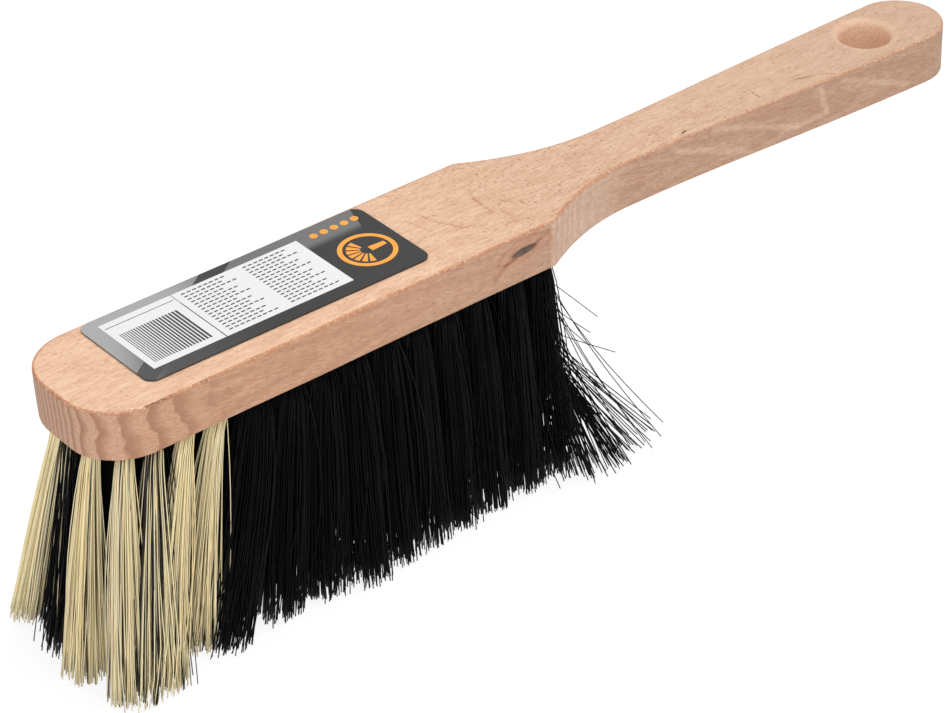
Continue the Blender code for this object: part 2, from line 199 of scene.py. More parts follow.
class Nodes:
    """Adds nodes to a tree in few words."""

    def __init__(self, tree):
        self.tree = tree

    def set(self, socket, value):
        """Links another node's output to the socket, or sets its value."""
        if isinstance(value, bpy.types.NodeSocket):
            self.tree.links.new(value, socket)
        elif socket.type == "RGBA" and len(value) == 3:
            socket.default_value = (*value, 1.0)
        else:
            socket.default_value = value

    def add(self, kind, inputs=None, **settings):
        """A node with its settings and inputs."""
        node = self.tree.nodes.new(kind)
        for key, value in settings.items():
            setattr(node, key, value)
        for key, value in (inputs or {}).items():
            self.set(node.inputs[key], value)
        return node

    def get(self, kind, inputs=None, **settings):
        """The first result of a new node."""
        return self.add(kind, inputs, **settings).outputs[0]

    def number(self, operation, *values, clamp=False):
        """The result of a number sum."""
        return self.get("ShaderNodeMath", dict(enumerate(values)), operation=operation, use_clamp=clamp)

    plus = partialmethod(number, "ADD")
    minus = partialmethod(number, "SUBTRACT")
    over = partialmethod(number, "DIVIDE")
    power = partialmethod(number, "POWER")
    sine = partialmethod(number, "SINE")
    times_add = partialmethod(number, "MULTIPLY_ADD")

    def times(self, first, *others, clamp=False):
        """The product of the numbers."""
        for other in others:
            first = self.number("MULTIPLY", first, other, clamp=clamp)
        return first

    def vector(self, operation, *values):
        """The result of a vector sum."""
        node = self.add("ShaderNodeVectorMath", dict(enumerate(values)), operation=operation)
        return node.outputs["Value" if operation in ("LENGTH", "DOT_PRODUCT") else "Vector"]

    def scaled(self, vector, scale):
        """The vector times a number."""
        return self.get("ShaderNodeVectorMath", {0: vector, "Scale": scale}, operation="SCALE")

    def combine(self, x=0.0, y=0.0, z=0.0):
        """A vector from three numbers."""
        return self.get("ShaderNodeCombineXYZ", {"X": x, "Y": y, "Z": z})

    def separate(self, vector):
        """The three numbers of a vector."""
        return self.add("ShaderNodeSeparateXYZ", {"Vector": vector}).outputs

    def ramp(self, value, low, high, to_low=0.0, to_high=1.0):
        """The value carried from one range to another, with soft ends."""
        inputs = {"Value": value, "From Min": low, "From Max": high, "To Min": to_low, "To Max": to_high}
        return self.get("ShaderNodeMapRange", inputs, interpolation_type="SMOOTHSTEP")

    def fade(self, value, low, high):
        """1 below low and 0 above high, with soft ends."""
        return self.ramp(value, low, high, 1.0, 0.0)

    def noise(self, point, stretch, detail=2.0, roughness=0.5, shift=None):
        """A noise from 0 to 1, with each axis of the point on its own scale."""
        place = self.vector("MULTIPLY", point, stretch)
        if shift:
            place = self.vector("ADD", place, shift)
        inputs = {"Vector": place, "Scale": 1.0, "Detail": detail, "Roughness": roughness}
        return self.get("ShaderNodeTexNoise", inputs)

    def mix(self, factor, first, second, blend="MIX"):
        """Two colours mixed."""
        inputs = {"Factor": factor, 6: first, 7: second}
        return self.add("ShaderNodeMix", inputs, data_type="RGBA", blend_type=blend).outputs[2]

    def tinted(self, factor, base, tone):
        """The base as far as it is multiplied by a tone."""
        return self.mix(factor, base, self.mix(1.0, base, tone, "MULTIPLY"))

    def layer(self, base, strength, mask, tone):
        """The base with a tone laid over it, as far as the mask and the strength say."""
        return self.mix(self.times(mask, strength, clamp=True), base, tone)

    def attribute(self, name):
        """A number kept on the mesh, read in a material."""
        return self.add("ShaderNodeAttribute", attribute_name=name).outputs["Fac"]

    def object_point(self):
        """The place on the piece in millimetres."""
        return self.scaled(self.add("ShaderNodeTexCoord").outputs["Object"], 1.0 / MM)

    def bump(self, shader, strength, distance, height):
        """Raises the surface a little by a number."""
        inputs = {"Strength": strength, "Distance": distance, "Height": height}
        self.set(shader.inputs["Normal"], self.get("ShaderNodeBump", inputs))


def new_material(name, roughness, specular=0.5):
    """A material with a plain shader. Returns the material, its node helper and the shader."""
    material = bpy.data.materials.get(name)
    if material is not None:
        bpy.data.materials.remove(material)
    material = bpy.data.materials.new(name)
    material.use_nodes = True
    shader = material.node_tree.nodes["Principled BSDF"]
    shader.inputs["Roughness"].default_value = roughness
    shader.inputs["Specular IOR Level"].default_value = specular
    return material, Nodes(material.node_tree), shader


def tone_setting(name, text, value):
    """A colour that a user may change."""
    return FloatVectorProperty(name=name, description=text, subtype="COLOR", default=value, min=0.0, max=1.0)


def length_setting(name, text, value, low=0.0):
    """A length that a user may change."""
    return FloatProperty(name=name, description=text, default=value, min=low, unit="LENGTH")


def power_setting(name, text, value):
    """A lamp's power that a user may change."""
    return FloatProperty(name=name, description=text, default=value, min=0.0, subtype="POWER")


def count_setting(name, text, value, low, high):
    """A whole number that a user may change."""
    return IntProperty(name=name, description=text, default=value, min=low, max=high)


class PlankSettings(bpy.types.PropertyGroup):
    """Shape and colours of the plank"""

    eased_edge: length_setting("Eased edge", "Radius of the eased edges", 0.0005, 0.0002)
    outline_step: length_setting("Outline step", "Distance between points round the outline", 0.0005, 0.0002)
    ring_spacing: length_setting("Ring spacing", "Width of one growth ring", 0.0019, 0.0003)
    light_wood: tone_setting("Light wood", "Colour of the pale wood", (0.734, 0.491, 0.334))
    shaded_side_wood: tone_setting("Side wood", "Colour of the sides", (0.535, 0.314, 0.200))
    # the sides are darker and more saturated than the top: painted shade on the walls
    dark_wood: tone_setting("Dark wood", "Colour of the late wood", (0.500, 0.250, 0.140))
    fleck: tone_setting("Fleck", "Colour of the short flecks", (0.360, 0.150, 0.075))
    burr: tone_setting("Rough edge", "Colour of the rough top edge", (0.480, 0.205, 0.095))


class LabelSettings(bpy.types.PropertyGroup):
    """Colours and thickness of the label's print"""

    film: tone_setting("Film", "Colour of the dark film", (0.0275, 0.0265, 0.0255))
    # the colour of the painted reflection on the film
    film_reflection: tone_setting("Light film", "Colour of the film's pale facets", (0.330, 0.330, 0.328))
    panel: tone_setting("Panel", "Colour of the pale panel", (0.700, 0.700, 0.685))
    ink: tone_setting("Ink", "Colour of the dark print", (0.030, 0.030, 0.032))
    emblem: tone_setting("Emblem", "Colour of the emblem", (0.900, 0.330, 0.030))
    print_thickness: length_setting("Print thickness", "Thickness of one layer of print", 0.00003, 0.00001)


class FilamentSettings(bpy.types.PropertyGroup):
    """Number, thickness and colours of the filaments"""

    count: count_setting("Filaments", "Filaments in one dark tuft", 200, 10, 240)
    cream_count: count_setting("Cream filaments", "Filaments in one pale tuft", 180, 10, 240)
    cream_diameter: length_setting("Cream diameter", "Diameter of one pale filament", 0.00034, 0.0001)
    cream_root: length_setting("Cream root", "Radius of a pale tuft in its hole", 0.0019, 0.001)
    diameter: length_setting("Diameter", "Diameter of one filament", 0.00034, 0.0001)
    segments: count_setting("Segments", "Lengths that make one filament", 8, 3, 9)
    hole_radius: length_setting("Root radius", "Radius of a dark tuft in its hole", 0.0029, 0.001)
    tip_radius: length_setting("Tip radius", "Radius of the tuft at its tips", 0.0060, 0.001)
    ragged: length_setting("Ragged tips", "How much shorter some filaments are", 0.0014)
    bow: length_setting("Bow", "How far a filament bows from its line", 0.0011)
    cream: tone_setting("Cream", "Colour of the pale filaments", (0.945, 0.845, 0.545))
    cream_shade: tone_setting("Cream shade", "Colour of the deeper pale filaments", (0.880, 0.700, 0.360))
    black: tone_setting("Black", "Colour of the dark filaments", (0.0014, 0.0017, 0.0024))


class StageSettings(bpy.types.PropertyGroup):
    """Floor, lamps and camera"""

    floor_size: length_setting("Floor size", "Side of the floor", 8.0, 1.0)
    floor: tone_setting("Floor", "Colour of the floor", (0.80, 0.80, 0.80))
    sky: FloatProperty(name="Room light", description="Strength of the light from all round", default=0.62, min=0.0)
    lamp: power_setting("Lamp", "Power of the large lamp", 21.0)
    fill: power_setting("Fill", "Power of the low lamp in front", 10.5)
    lens: FloatProperty(name="Lens", description="Focal length of the camera", default=138.92, min=20.0, unit="CAMERA")


# the plank
BLOCK_LENGTH = 0.1374
TOE_CORNER_RADIUS = 0.0155
SHOULDER_RUN = 0.0368
NECK_HALF_WIDTH = 0.0097
GRIP_RADIUS = 0.0130
SHOULDER_START = (0.24, 0.495)
SHOULDER_END = 0.57
GRIP_SWELL = (0.30, 0.70)
CURVE_POINTS = 400
EDGE_STEPS = 6
WALL_STEPS = 12
SHARP_ANGLE = 50.0
HANG_HOLE_X = PLANK_HIGH.x - 0.0248
HANG_HOLE_RADIUS = 0.0070
HANG_HOLE_RIM = 0.0022
HANG_HOLE_SIDES = 96
HANG_HOLE_STEPS = 8
BORE_STEPS = 7
TUFT_HOLE_RADIUS = 0.0029
TUFT_HOLE_FLARE = 0.15 * MM
TUFT_HOLE_RIM = 0.25 * MM
TUFT_HOLE_SIDES = 20
TUFT_HOLE_SHOWN = 0.0040
CORNER_SOFTENING = 0.0005
NEAR_SHOULDER_SHIFT = 0.0019
EDGE_WEAR = 0.035 * MM
WALL_WANDER = 0.04 * MM
HANG_HOLE_WANDER = 0.012
# seed, and how many waves run round the outline
EDGE_WAVES = (3, (9, 17, 31, 47, 83))
ROUGH_WAVES = (4, (211, 307, 389, 467, 541))
WALL_WAVES = (5, (5, 11, 19, 37))
# distance from the toe, and how far the far and the near side stand toward +Y there, in millimetres
SIDE_SHIFTS = (
    (0.0, -0.60, 0.10), (40.0, -0.55, 0.45), (65.0, -0.45, 0.55), (78.0, -0.35, 0.85),
    (92.0, -0.20, 1.05), (118.0, -0.10, 1.20), (136.0, -0.10, 1.35), (150.0, -0.15, 1.05),
    (162.0, -0.30, 0.65), (174.0, -0.55, 0.35), (190.0, -0.60, 0.38), (205.0, -0.62, 0.25),
    (222.0, -0.75, 0.00), (244.0, -1.18, -0.20), (262.0, -1.42, -0.30), (290.0, -1.50, -0.50),
)
# how far the foot of the toe is drawn in, which way it faces, and how much the end is trimmed
TOE_DRAFT = 0.0005
TOE_DRAFT_TURN = (-0.86, 0.51)
END_TRIM = 0.0005


def half_outline():
    """Dense points of the far side, from the middle of the toe to the end of the handle."""
    handle = TOE_CORNER_RADIUS * CIRCLE_HANDLE
    end_handle = GRIP_RADIUS * CIRCLE_HANDLE
    shoulder = Vector((TOE_X + BLOCK_LENGTH, HALF_WIDTH, 0.0))
    neck = Vector((shoulder.x + SHOULDER_RUN, NECK_HALF_WIDTH, 0.0))
    grip = Vector((TOE_X + LENGTH - GRIP_RADIUS, GRIP_RADIUS, 0.0))
    swell = grip.x - neck.x
    drop = shoulder.y - neck.y
    corner = Vector((TOE_X, HALF_WIDTH - TOE_CORNER_RADIUS, 0.0))
    side = Vector((TOE_X + TOE_CORNER_RADIUS, HALF_WIDTH, 0.0))
    end = Vector((TOE_X + LENGTH, 0.0, 0.0))
    leaving = Vector((SHOULDER_RUN * SHOULDER_START[0], -drop * SHOULDER_START[1], 0.0))
    arriving = Vector((shoulder.x + SHOULDER_RUN * SHOULDER_END, neck.y, 0.0))
    swelling = [Vector((neck.x + swell * share, y, 0.0)) for share, y in zip(GRIP_SWELL, (neck.y, grip.y))]
    spans = [
        (corner, corner + Vector((0.0, handle, 0.0)), side - Vector((handle, 0.0, 0.0)), side),
        (side, side, shoulder, shoulder),
        (shoulder, shoulder + leaving, arriving, neck),
        (neck, *swelling, grip),
        (grip, grip + Vector((end_handle, 0.0, 0.0)), end + Vector((0.0, end_handle, 0.0)), end),
    ]
    points = [Vector((TOE_X, 0.0, 0.0))]
    for span in spans:
        points += interpolate_bezier(*span, CURVE_POINTS)
    return np.array([(point.x, point.y) for point in points])


def resample(points, step):
    """Points at an even spacing round a closed line, and the distance of each along it."""
    closed = np.vstack([points, points[:1]])
    lengths = np.concatenate([[0.0], np.cumsum(np.linalg.norm(np.diff(closed, axis=0), axis=1))])
    total = lengths[-1]
    count = int(round(total / step))
    at = np.arange(count) * total / count
    return np.column_stack([np.interp(at, lengths, closed[:, axis]) for axis in (0, 1)]), at


def plank_outline(step):
    """The closed outline with softened corners: points, outward normals and distance along it."""
    far = half_outline()
    keep = np.concatenate([[True], np.linalg.norm(np.diff(far, axis=0), axis=1) > 0.001 * MM])
    far = far[keep]
    near = far[1:-1][::-1] * np.array([1.0, -1.0])
    along = near[:, 0] - TOE_X
    falling = 1.0 - smooth(along, BLOCK_LENGTH + 0.006, BLOCK_LENGTH + SHOULDER_RUN)
    near[:, 0] += NEAR_SHOULDER_SHIFT * smooth(along, 0.090, BLOCK_LENGTH) * falling
    both = np.vstack([far, near])
    places, far_shifts, near_shifts = np.array(SIDE_SHIFTS).T * MM
    along = both[:, 0] - TOE_X
    far_share = np.clip(0.5 + 0.5 * both[:, 1] / NECK_HALF_WIDTH, 0.0, 1.0)
    far_shift, near_shift = np.interp(along, places, far_shifts), np.interp(along, places, near_shifts)
    both[:, 1] += far_share * far_shift + (1.0 - far_share) * near_shift
    both[:, 0] -= END_TRIM * smooth(along, LENGTH - GRIP_RADIUS, LENGTH)
    fine_step = step / 4.0
    points, _ = resample(both, fine_step)
    reach = int(round(3.0 * CORNER_SOFTENING / fine_step))
    shifts = range(-reach, reach + 1)
    weights = np.exp(-0.5 * (np.arange(-reach, reach + 1) * fine_step / CORNER_SOFTENING) ** 2)
    weights /= weights.sum()
    points, at = resample(sum(weight * np.roll(points, shift, axis=0) for shift, weight in zip(shifts, weights)), step)
    tangent = np.roll(points, -1, axis=0) - np.roll(points, 1, axis=0)
    tangent /= np.linalg.norm(tangent, axis=1)[:, None]
    return points, np.column_stack([-tangent[:, 1], tangent[:, 0]]), at


def waver(at, total, seed, waves):
    """A closed, even wander from -1 to 1 along the outline."""
    draw = np.random.default_rng(seed)
    result = np.zeros_like(at)
    for wave in waves:
        result += np.sin(FULL_TURN * (wave * at / total + draw.random())) * draw.uniform(0.5, 1.0)
    return result / len(waves)


def quarter_round(radius, steps):
    """Steps round an eased edge: how far each lies in and down, and its share of the turn."""
    turns = [(math.pi / 2.0 * step / steps, step / steps) for step in range(steps + 1)]
    return [(radius * (1.0 - math.sin(angle)), radius * (1.0 - math.cos(angle)), share) for angle, share in turns]


def wall_rings(radius):
    """Rings of the wall from the top face down: inset, depth, wall share and edge share."""
    rings = [(1.9 * radius, 0.0, 0.0, 0.0), (1.4 * radius, 0.0, 0.0, 0.4)]
    for inset, depth, share in quarter_round(radius, EDGE_STEPS):
        rings.append((inset, depth, share, 0.8 + 0.2 * math.sin(math.pi * share) - 0.4 * share))
    lower = [(inset, THICKNESS - depth, share, 0.4 * edge) for inset, depth, share, edge in rings[::-1]]
    for step in range(1, WALL_STEPS):
        rings.append((0.0, radius + (THICKNESS - 2.0 * radius) * (step / WALL_STEPS), 1.0, 0.0))
    return rings + lower


def add_wall(bm, radius, step):
    """The plank's wall with its eased edges. Returns its uppermost and its lowest loop."""
    points, normals, at = plank_outline(step)
    total = at[-1] + at[1]
    edge_wander = 1.0 + 0.14 * waver(at, total, *EDGE_WAVES)
    edge_rough = waver(at, total, *ROUGH_WAVES)
    wall_wander = waver(at, total, *WALL_WAVES)
    end_grain = np.abs(normals[:, 0]) ** 1.5
    draft = TOE_DRAFT * smooth(normals @ np.array(TOE_DRAFT_TURN), 0.55, 1.0)
    local_x = points[:, 0] - TOE_X
    shoulder = smooth(local_x, BLOCK_LENGTH, BLOCK_LENGTH + 1.5 * MM)
    shoulder *= 1.0 - smooth(local_x, BLOCK_LENGTH + 24.0 * MM, BLOCK_LENGTH + SHOULDER_RUN)
    loops = []
    for inset, depth, share, edge in wall_rings(radius):
        wear = EDGE_WEAR * edge * edge_rough
        shift = inset * (edge_wander if inset > 0.0 else 1.0) + wear - WALL_WANDER * wall_wander * share
        shift += draft * (depth / THICKNESS) ** 1.6
        height = np.full(len(points), TOP_Z - depth)
        if edge > 0.0 and share < 1.0 and depth < 2.0 * radius:
            height -= np.abs(wear) * share
        places = np.column_stack([points - normals * shift[:, None], height])
        marks = {"wall": share, "edge": edge, "end_grain": end_grain * share, "around": at}
        loops.append(add_loop(bm, places, shoulder=shoulder * share, **marks))
    skin(bm, loops)
    return loops[0], loops[-1]


def add_hang_hole(bm):
    """The bore through the handle with its rounded rims. Returns its uppermost and its lowest loop."""
    radius = HANG_HOLE_RADIUS
    profile = [(radius + 1.3 * HANG_HOLE_RIM, 0.0, 0.0), (radius + HANG_HOLE_RIM, 0.0, 0.1)]
    for inset, depth, share in quarter_round(HANG_HOLE_RIM, HANG_HOLE_STEPS)[1:]:
        profile.append((radius + inset, depth, 0.1 + 0.9 * share))
    straight = THICKNESS - 2.0 * HANG_HOLE_RIM
    middle = [(radius, HANG_HOLE_RIM + straight * step / BORE_STEPS, 1.0) for step in range(1, BORE_STEPS)]
    under = [(reach, THICKNESS - depth, bore) for reach, depth, bore in profile[::-1]]
    loops = []
    for reach, depth, bore in profile + middle + under:
        places = []
        for number in range(HANG_HOLE_SIDES):
            angle = FULL_TURN * number / HANG_HOLE_SIDES
            worn = reach * (1.0 + HANG_HOLE_WANDER * math.sin(3.0 * angle + 0.7) * (1.0 - bore))
            places.append((HANG_HOLE_X + worn * math.cos(angle), worn * math.sin(angle), TOP_Z - depth))
        loops.append(add_loop(bm, places, bore=bore))
    skin(bm, loops, turned=True)
    return loops[0], loops[-1]


def add_tuft_hole(bm, root):
    """The mouth of one tuft's blind hole, as deep as it is seen. Returns its lowest loop."""
    loops = []
    for depth, flare in ((0.0, TUFT_HOLE_FLARE), (TUFT_HOLE_RIM, 0.0), (TUFT_HOLE_SHOWN, 0.0)):
        outline = circle(root, TUFT_HOLE_RADIUS + flare, TUFT_HOLE_SIDES)
        places = [(x, y, UNDERSIDE_Z + depth) for x, y in outline]
        loops.append(add_loop(bm, places, bore=min(1.0, depth / TUFT_HOLE_RIM)))
    skin(bm, loops)
    bm.faces.new(loops[-1][::-1])
    return loops[0]


def fill_face(bm, loops):
    """Fills the flat face that lies inside the first loop and outside the others."""
    verts = [vert for loop in loops for vert in loop]
    places = [Vector((vert.co.x / MM, vert.co.y / MM)) for vert in verts]
    edges = []
    for loop in loops:
        start = len(edges)
        edges += [(start + step, start + (step + 1) % len(loop)) for step in range(len(loop))]
    _, _, triangles, origins, _, _ = delaunay_2d_cdt(places, edges, [], 0, 1e-6)
    flat = np.array(places)
    one, two = flat[[edge[0] for edge in edges]], flat[[edge[1] for edge in edges]]
    for triangle in triangles:
        corners = [origins[corner][0] for corner in triangle]
        x, y = flat[corners].mean(axis=0)
        spans = (one[:, 1] > y) != (two[:, 1] > y)
        rise = np.where(spans, two[:, 1] - one[:, 1], 1.0)
        crossing = spans & (x < one[:, 0] + (y - one[:, 1]) / rise * (two[:, 0] - one[:, 0]))
        if crossing.sum() % 2:
            bm.faces.new([verts[corner] for corner in corners])


def make_plank_mesh(settings):
    """Plank with eased edges, softly rounded hang hole and the mouths of the tuft holes."""
    bm = bmesh.new()
    for name in ("wall", "edge", "end_grain", "around", "shoulder", "bore"):
        bm.verts.layers.float.new(name)
    wall_top, wall_foot = add_wall(bm, settings.eased_edge, settings.outline_step)
    hole_top, hole_foot = add_hang_hole(bm)
    mouths = [add_tuft_hole(bm, root) for root, _ in TUFTS.values()]
    fill_face(bm, [wall_top, hole_top])
    fill_face(bm, [wall_foot, hole_foot] + mouths)
    for face in bm.faces:
        face.smooth = True
    mesh = finished_mesh(bm, "beech_plank")
    mesh.set_sharp_from_angle(angle=math.radians(SHARP_ANGLE))
    return mesh


# the wood: places and lengths in millimetres
RED_SEAM = (0.24, 0.080, 0.045)
WARM_SEAM = (0.38, 0.150, 0.080)
PALE_SEAM = (0.74, 0.52, 0.38)
BORE_RING = (0.46, 0.22, 0.125)
KNOT_X, KNOT_Z = -9.4, 69.35
KNOT_TILT = 0.06
# strokes: the bends of the line, its half width, its softness, its strength and its tone.
# round the knot and on the handle's side a bend is X and Z, and on the top it is X and Y
KNOT_SEAMS = (
    (((-19.0, 64.6), (-15.6, 67.3)), 0.10, 1.10, 0.55, WARM_SEAM),
    (((-15.6, 67.3), (-12.0, 68.6)), 0.20, 0.80, 0.70, RED_SEAM),
    (((-6.8, 69.9), (-3.6, 70.9)), 0.15, 0.60, 0.66, RED_SEAM),
    (((-3.6, 70.9), (-0.9, 72.4)), 0.06, 0.50, 0.58, WARM_SEAM),
    (((-16.0, 70.8), (-12.6, 72.6)), 0.08, 0.60, 0.60, WARM_SEAM),
    (((-12.6, 72.6), (-6.0, 73.0)), 0.08, 0.60, 0.55, WARM_SEAM),
    (((-6.0, 73.0), (-1.2, 71.6)), 0.08, 0.60, 0.50, WARM_SEAM),
    (((-16.4, 70.8), (-18.0, 68.0)), 0.08, 0.90, 0.40, WARM_SEAM),
)
GRIP_SEAMS = (
    (((62.7, 73.2), (91.2, 63.6), (101.6, 64.4), (99.0, 72.5)), 0.25, 1.10, 0.42, PALE_SEAM),
    (((48.6, 71.6), (74.7, 61.9)), 0.25, 1.10, 0.36, PALE_SEAM),
    (((107.1, 72.1), (130.0, 62.7)), 0.25, 1.10, 0.30, PALE_SEAM),
)
# short reddish marks across the block, and faint growth arcs beside the label
BLOCK_MARKS = (
    (((-8.0, 4.3), (-8.5, -0.4)), 0.06, 0.90, 0.62, WARM_SEAM),
    (((-8.5, -0.4), (-8.6, -5.6)), 0.02, 0.90, 0.52, WARM_SEAM),
    (((-6.3, -6.4), (-6.1, -10.2)), 0.02, 0.80, 0.36, WARM_SEAM),
    (((-2.9, -3.0), (-1.7, -5.7)), 0.02, 0.70, 0.42, WARM_SEAM),
    (((0.1, -5.6), (0.1, -8.9)), 0.04, 0.60, 0.60, WARM_SEAM),
    (((-3.2, 17.6), (-0.6, 16.4)), 0.05, 0.50, 0.62, WARM_SEAM),
    (((-23.6, 5.4), (-22.4, 0.2), (-19.0, -6.2), (-14.7, -8.5)), 0.02, 0.75, 0.50, WARM_SEAM),
    (((-27.9, 5.0), (-26.2, -2.0)), 0.02, 0.75, 0.40, WARM_SEAM),
)
HANDLE_SCRATCHES = (
    (((90.1, -0.8), (89.3, -4.7)), 0.03, 0.26, 0.70, WARM_SEAM),
    (((81.8, -3.7), (81.6, -6.8)), 0.05, 0.28, 0.85, RED_SEAM),
    (((92.3, -5.6), (95.4, -6.2)), 0.03, 0.26, 0.65, WARM_SEAM),
    (((95.4, -6.2), (98.4, -7.4)), 0.08, 0.34, 0.85, RED_SEAM),
    (((98.4, -7.4), (102.7, -8.7)), 0.04, 0.30, 0.75, WARM_SEAM),
    (((102.7, -8.7), (105.5, -11.2)), 0.03, 0.34, 0.65, WARM_SEAM),
)
# X of the scorched runs along the near edge, from start to end
SCORCHED_RUNS = ((-125.8, -116.4), (-109.9, -106.9))


def stroke_group():
    """A shader group that is 1 on a straight stroke between two points and 0 beyond its width."""
    name = "stroke_on_wood"
    old = bpy.data.node_groups.get(name)
    if old is not None:
        return old
    tree = bpy.data.node_groups.new(name, "ShaderNodeTree")
    for label in ("Point", "Start", "End"):
        tree.interface.new_socket(label, in_out="INPUT", socket_type="NodeSocketVector")
    for label in ("Half Width", "Softness"):
        tree.interface.new_socket(label, in_out="INPUT", socket_type="NodeSocketFloat")
    tree.interface.new_socket("Mask", in_out="OUTPUT", socket_type="NodeSocketFloat")
    n = Nodes(tree)
    given = n.add("NodeGroupInput").outputs
    run = n.vector("SUBTRACT", given["End"], given["Start"])
    away = n.vector("SUBTRACT", given["Point"], given["Start"])
    share = n.over(n.vector("DOT_PRODUCT", away, run), n.vector("DOT_PRODUCT", run, run), clamp=True)
    distance = n.vector("LENGTH", n.vector("SUBTRACT", away, n.scaled(run, share)))
    outer = n.plus(given["Half Width"], given["Softness"])
    n.add("NodeGroupOutput", {"Mask": n.fade(distance, given["Half Width"], outer)})
    return tree


def stroke(n, point, start, end, half_width, softness):
    """A stroke's mask."""
    inputs = {"Point": point, "Start": start, "End": end, "Half Width": half_width, "Softness": softness}
    return n.get("ShaderNodeGroup", inputs, node_tree=stroke_group())


def strokes(n, base, point, mask, rows, on_side=False):
    """The base with a table of strokes laid over it."""
    for bends, half_width, softness, strength, tone in rows:
        places = [(one, 0.0, two) if on_side else (one, two, 0.0) for one, two in bends]
        for start, end in zip(places, places[1:]):
            line = stroke(n, point, start, end, half_width, softness)
            base = n.layer(base, strength, n.times(line, mask), tone)
    return base


def ring_pattern(n, x, y, z, wander, small_wander, spacing):
    """Growth rings that stand across the plank: stripes on the toe, long soft waves on the sides."""
    place = n.times_add(n.times(y, y), 0.012, n.over(y, spacing / MM))
    place = n.plus(place, n.ramp(x, -138.5, -92.0, 0.0, -5.0))
    swing = n.ramp(x, -128.0, -88.0, 0.9, 3.6)
    place = n.times_add(small_wander, 0.8, n.times_add(wander, swing, place))
    part = n.number("FRACT", place)
    crisp = n.times(n.ramp(part, 0.30, 0.86), n.fade(part, 0.88, 0.98))
    arch = n.times(n.power(n.number("ABSOLUTE", n.minus(z, 66.5)), 1.6), 0.055)
    waves = n.times_add(wander, 3.0, n.times_add(x, 0.036, arch))
    fall = n.number("FRACT", n.times_add(small_wander, 0.5, waves))
    soft = n.times(n.ramp(fall, 0.05, 0.80), n.fade(fall, 0.82, 0.97))
    along = n.ramp(x, -116.0, -94.0)
    return n.plus(n.times(crisp, n.minus(1.0, along)), n.times(soft, along))


def fleck_pattern(n, point, x, mottle):
    """Short dark flecks along the fibres, thicker over the shoulders and the neck."""
    inputs = {"Vector": n.vector("MULTIPLY", point, (0.62, 2.5, 2.5)), "Scale": 1.0, "Randomness": 1.0}
    cells = n.add("ShaderNodeTexVoronoi", inputs, feature="F1").outputs
    draw = n.separate(cells["Color"])[0]
    crowd = n.plus(n.ramp(x, -40.0, 5.0, 0.82, 0.62), n.ramp(x, 30.0, 80.0, 0.0, 0.26))
    chosen = n.number("GREATER_THAN", draw, n.times_add(mottle, -1.1, n.plus(crowd, 0.55)))
    return n.times(n.fade(cells["Distance"], 0.20, 0.46), chosen)


def knot_layers(n, base, x, z, wriggle, near_side, fibre):
    """The knot low in the near side: a dark eye with reddish seams and bent fibres round it."""
    across = n.minus(x, KNOT_X)
    up = n.times_add(wriggle, 0.9, n.minus(z, KNOT_Z + 0.45))
    along_eye = n.times_add(up, KNOT_TILT, across)
    over_eye = n.times_add(across, -KNOT_TILT, up)
    eye = n.vector("LENGTH", n.combine(n.over(along_eye, 4.2), n.over(over_eye, 1.08)))
    halo = n.fade(eye, 1.0, 3.6)
    bent = n.ramp(n.sine(n.times_add(wriggle, 3.0, n.times(eye, 6.0))), -0.2, 1.0)
    base = n.layer(base, 0.46, n.times(halo, bent, near_side), WARM_SEAM)
    base = n.layer(base, 0.24, n.times(halo, near_side), (0.42, 0.19, 0.11))
    rising = n.times_add(wriggle, 3.0, n.minus(z, 1.5))
    side_point = n.combine(n.times_add(wriggle, 1.2, n.minus(x, 0.6)), 0.0, rising)
    base = strokes(n, base, side_point, near_side, KNOT_SEAMS, on_side=True)
    pupil = n.times(n.fade(eye, 0.84, 1.12), near_side)
    grained = n.mix(n.ramp(fibre, 0.42, 0.60), (0.050, 0.036, 0.034), (0.135, 0.085, 0.068))
    return n.mix(n.times(pupil, 0.94), base, grained)


def grip_seams(n, base, x, z, wriggle, near_side, fibre):
    """Long pale seams like a flame along the near side of the handle, darker wood within."""
    along = n.times_add(wriggle, 1.6, n.minus(x, 0.8))
    point = n.combine(along, 0.0, n.times_add(wriggle, 1.4, n.minus(z, 0.7)))
    worn = n.times(near_side, n.ramp(fibre, 0.34, 0.56, 1.0, 0.55))
    within = stroke(n, point, (66.0, 0.0, 76.0), (96.0, 0.0, 67.2), 0.8, 3.2)
    base = n.layer(base, 0.22, n.times(within, near_side), (0.40, 0.20, 0.12))
    return strokes(n, base, point, worn, GRIP_SEAMS, on_side=True)


def top_marks(n, base, x, y, wriggle, fibre, top):
    """Marks and growth arcs across the block, scratches on the handle and a dark nick."""
    flat_point = n.combine(x, y)
    ragged_x = n.times_add(n.minus(fibre, 0.5), 1.5, x)
    ragged_point = n.combine(ragged_x, n.times_add(wriggle, 0.8, n.minus(y, 0.4)))
    worn = n.times(top, n.ramp(fibre, 0.36, 0.54, 0.30, 1.0))
    base = strokes(n, base, ragged_point, worn, BLOCK_MARKS)
    scored = n.times(top, n.ramp(fibre, 0.34, 0.52))
    base = strokes(n, base, flat_point, scored, HANDLE_SCRATCHES)
    nick = stroke(n, flat_point, (53.7, -7.5, 0.0), (55.1, -7.15, 0.0), 0.14, 0.28)
    return n.layer(base, 0.95, nick, (0.045, 0.028, 0.02))


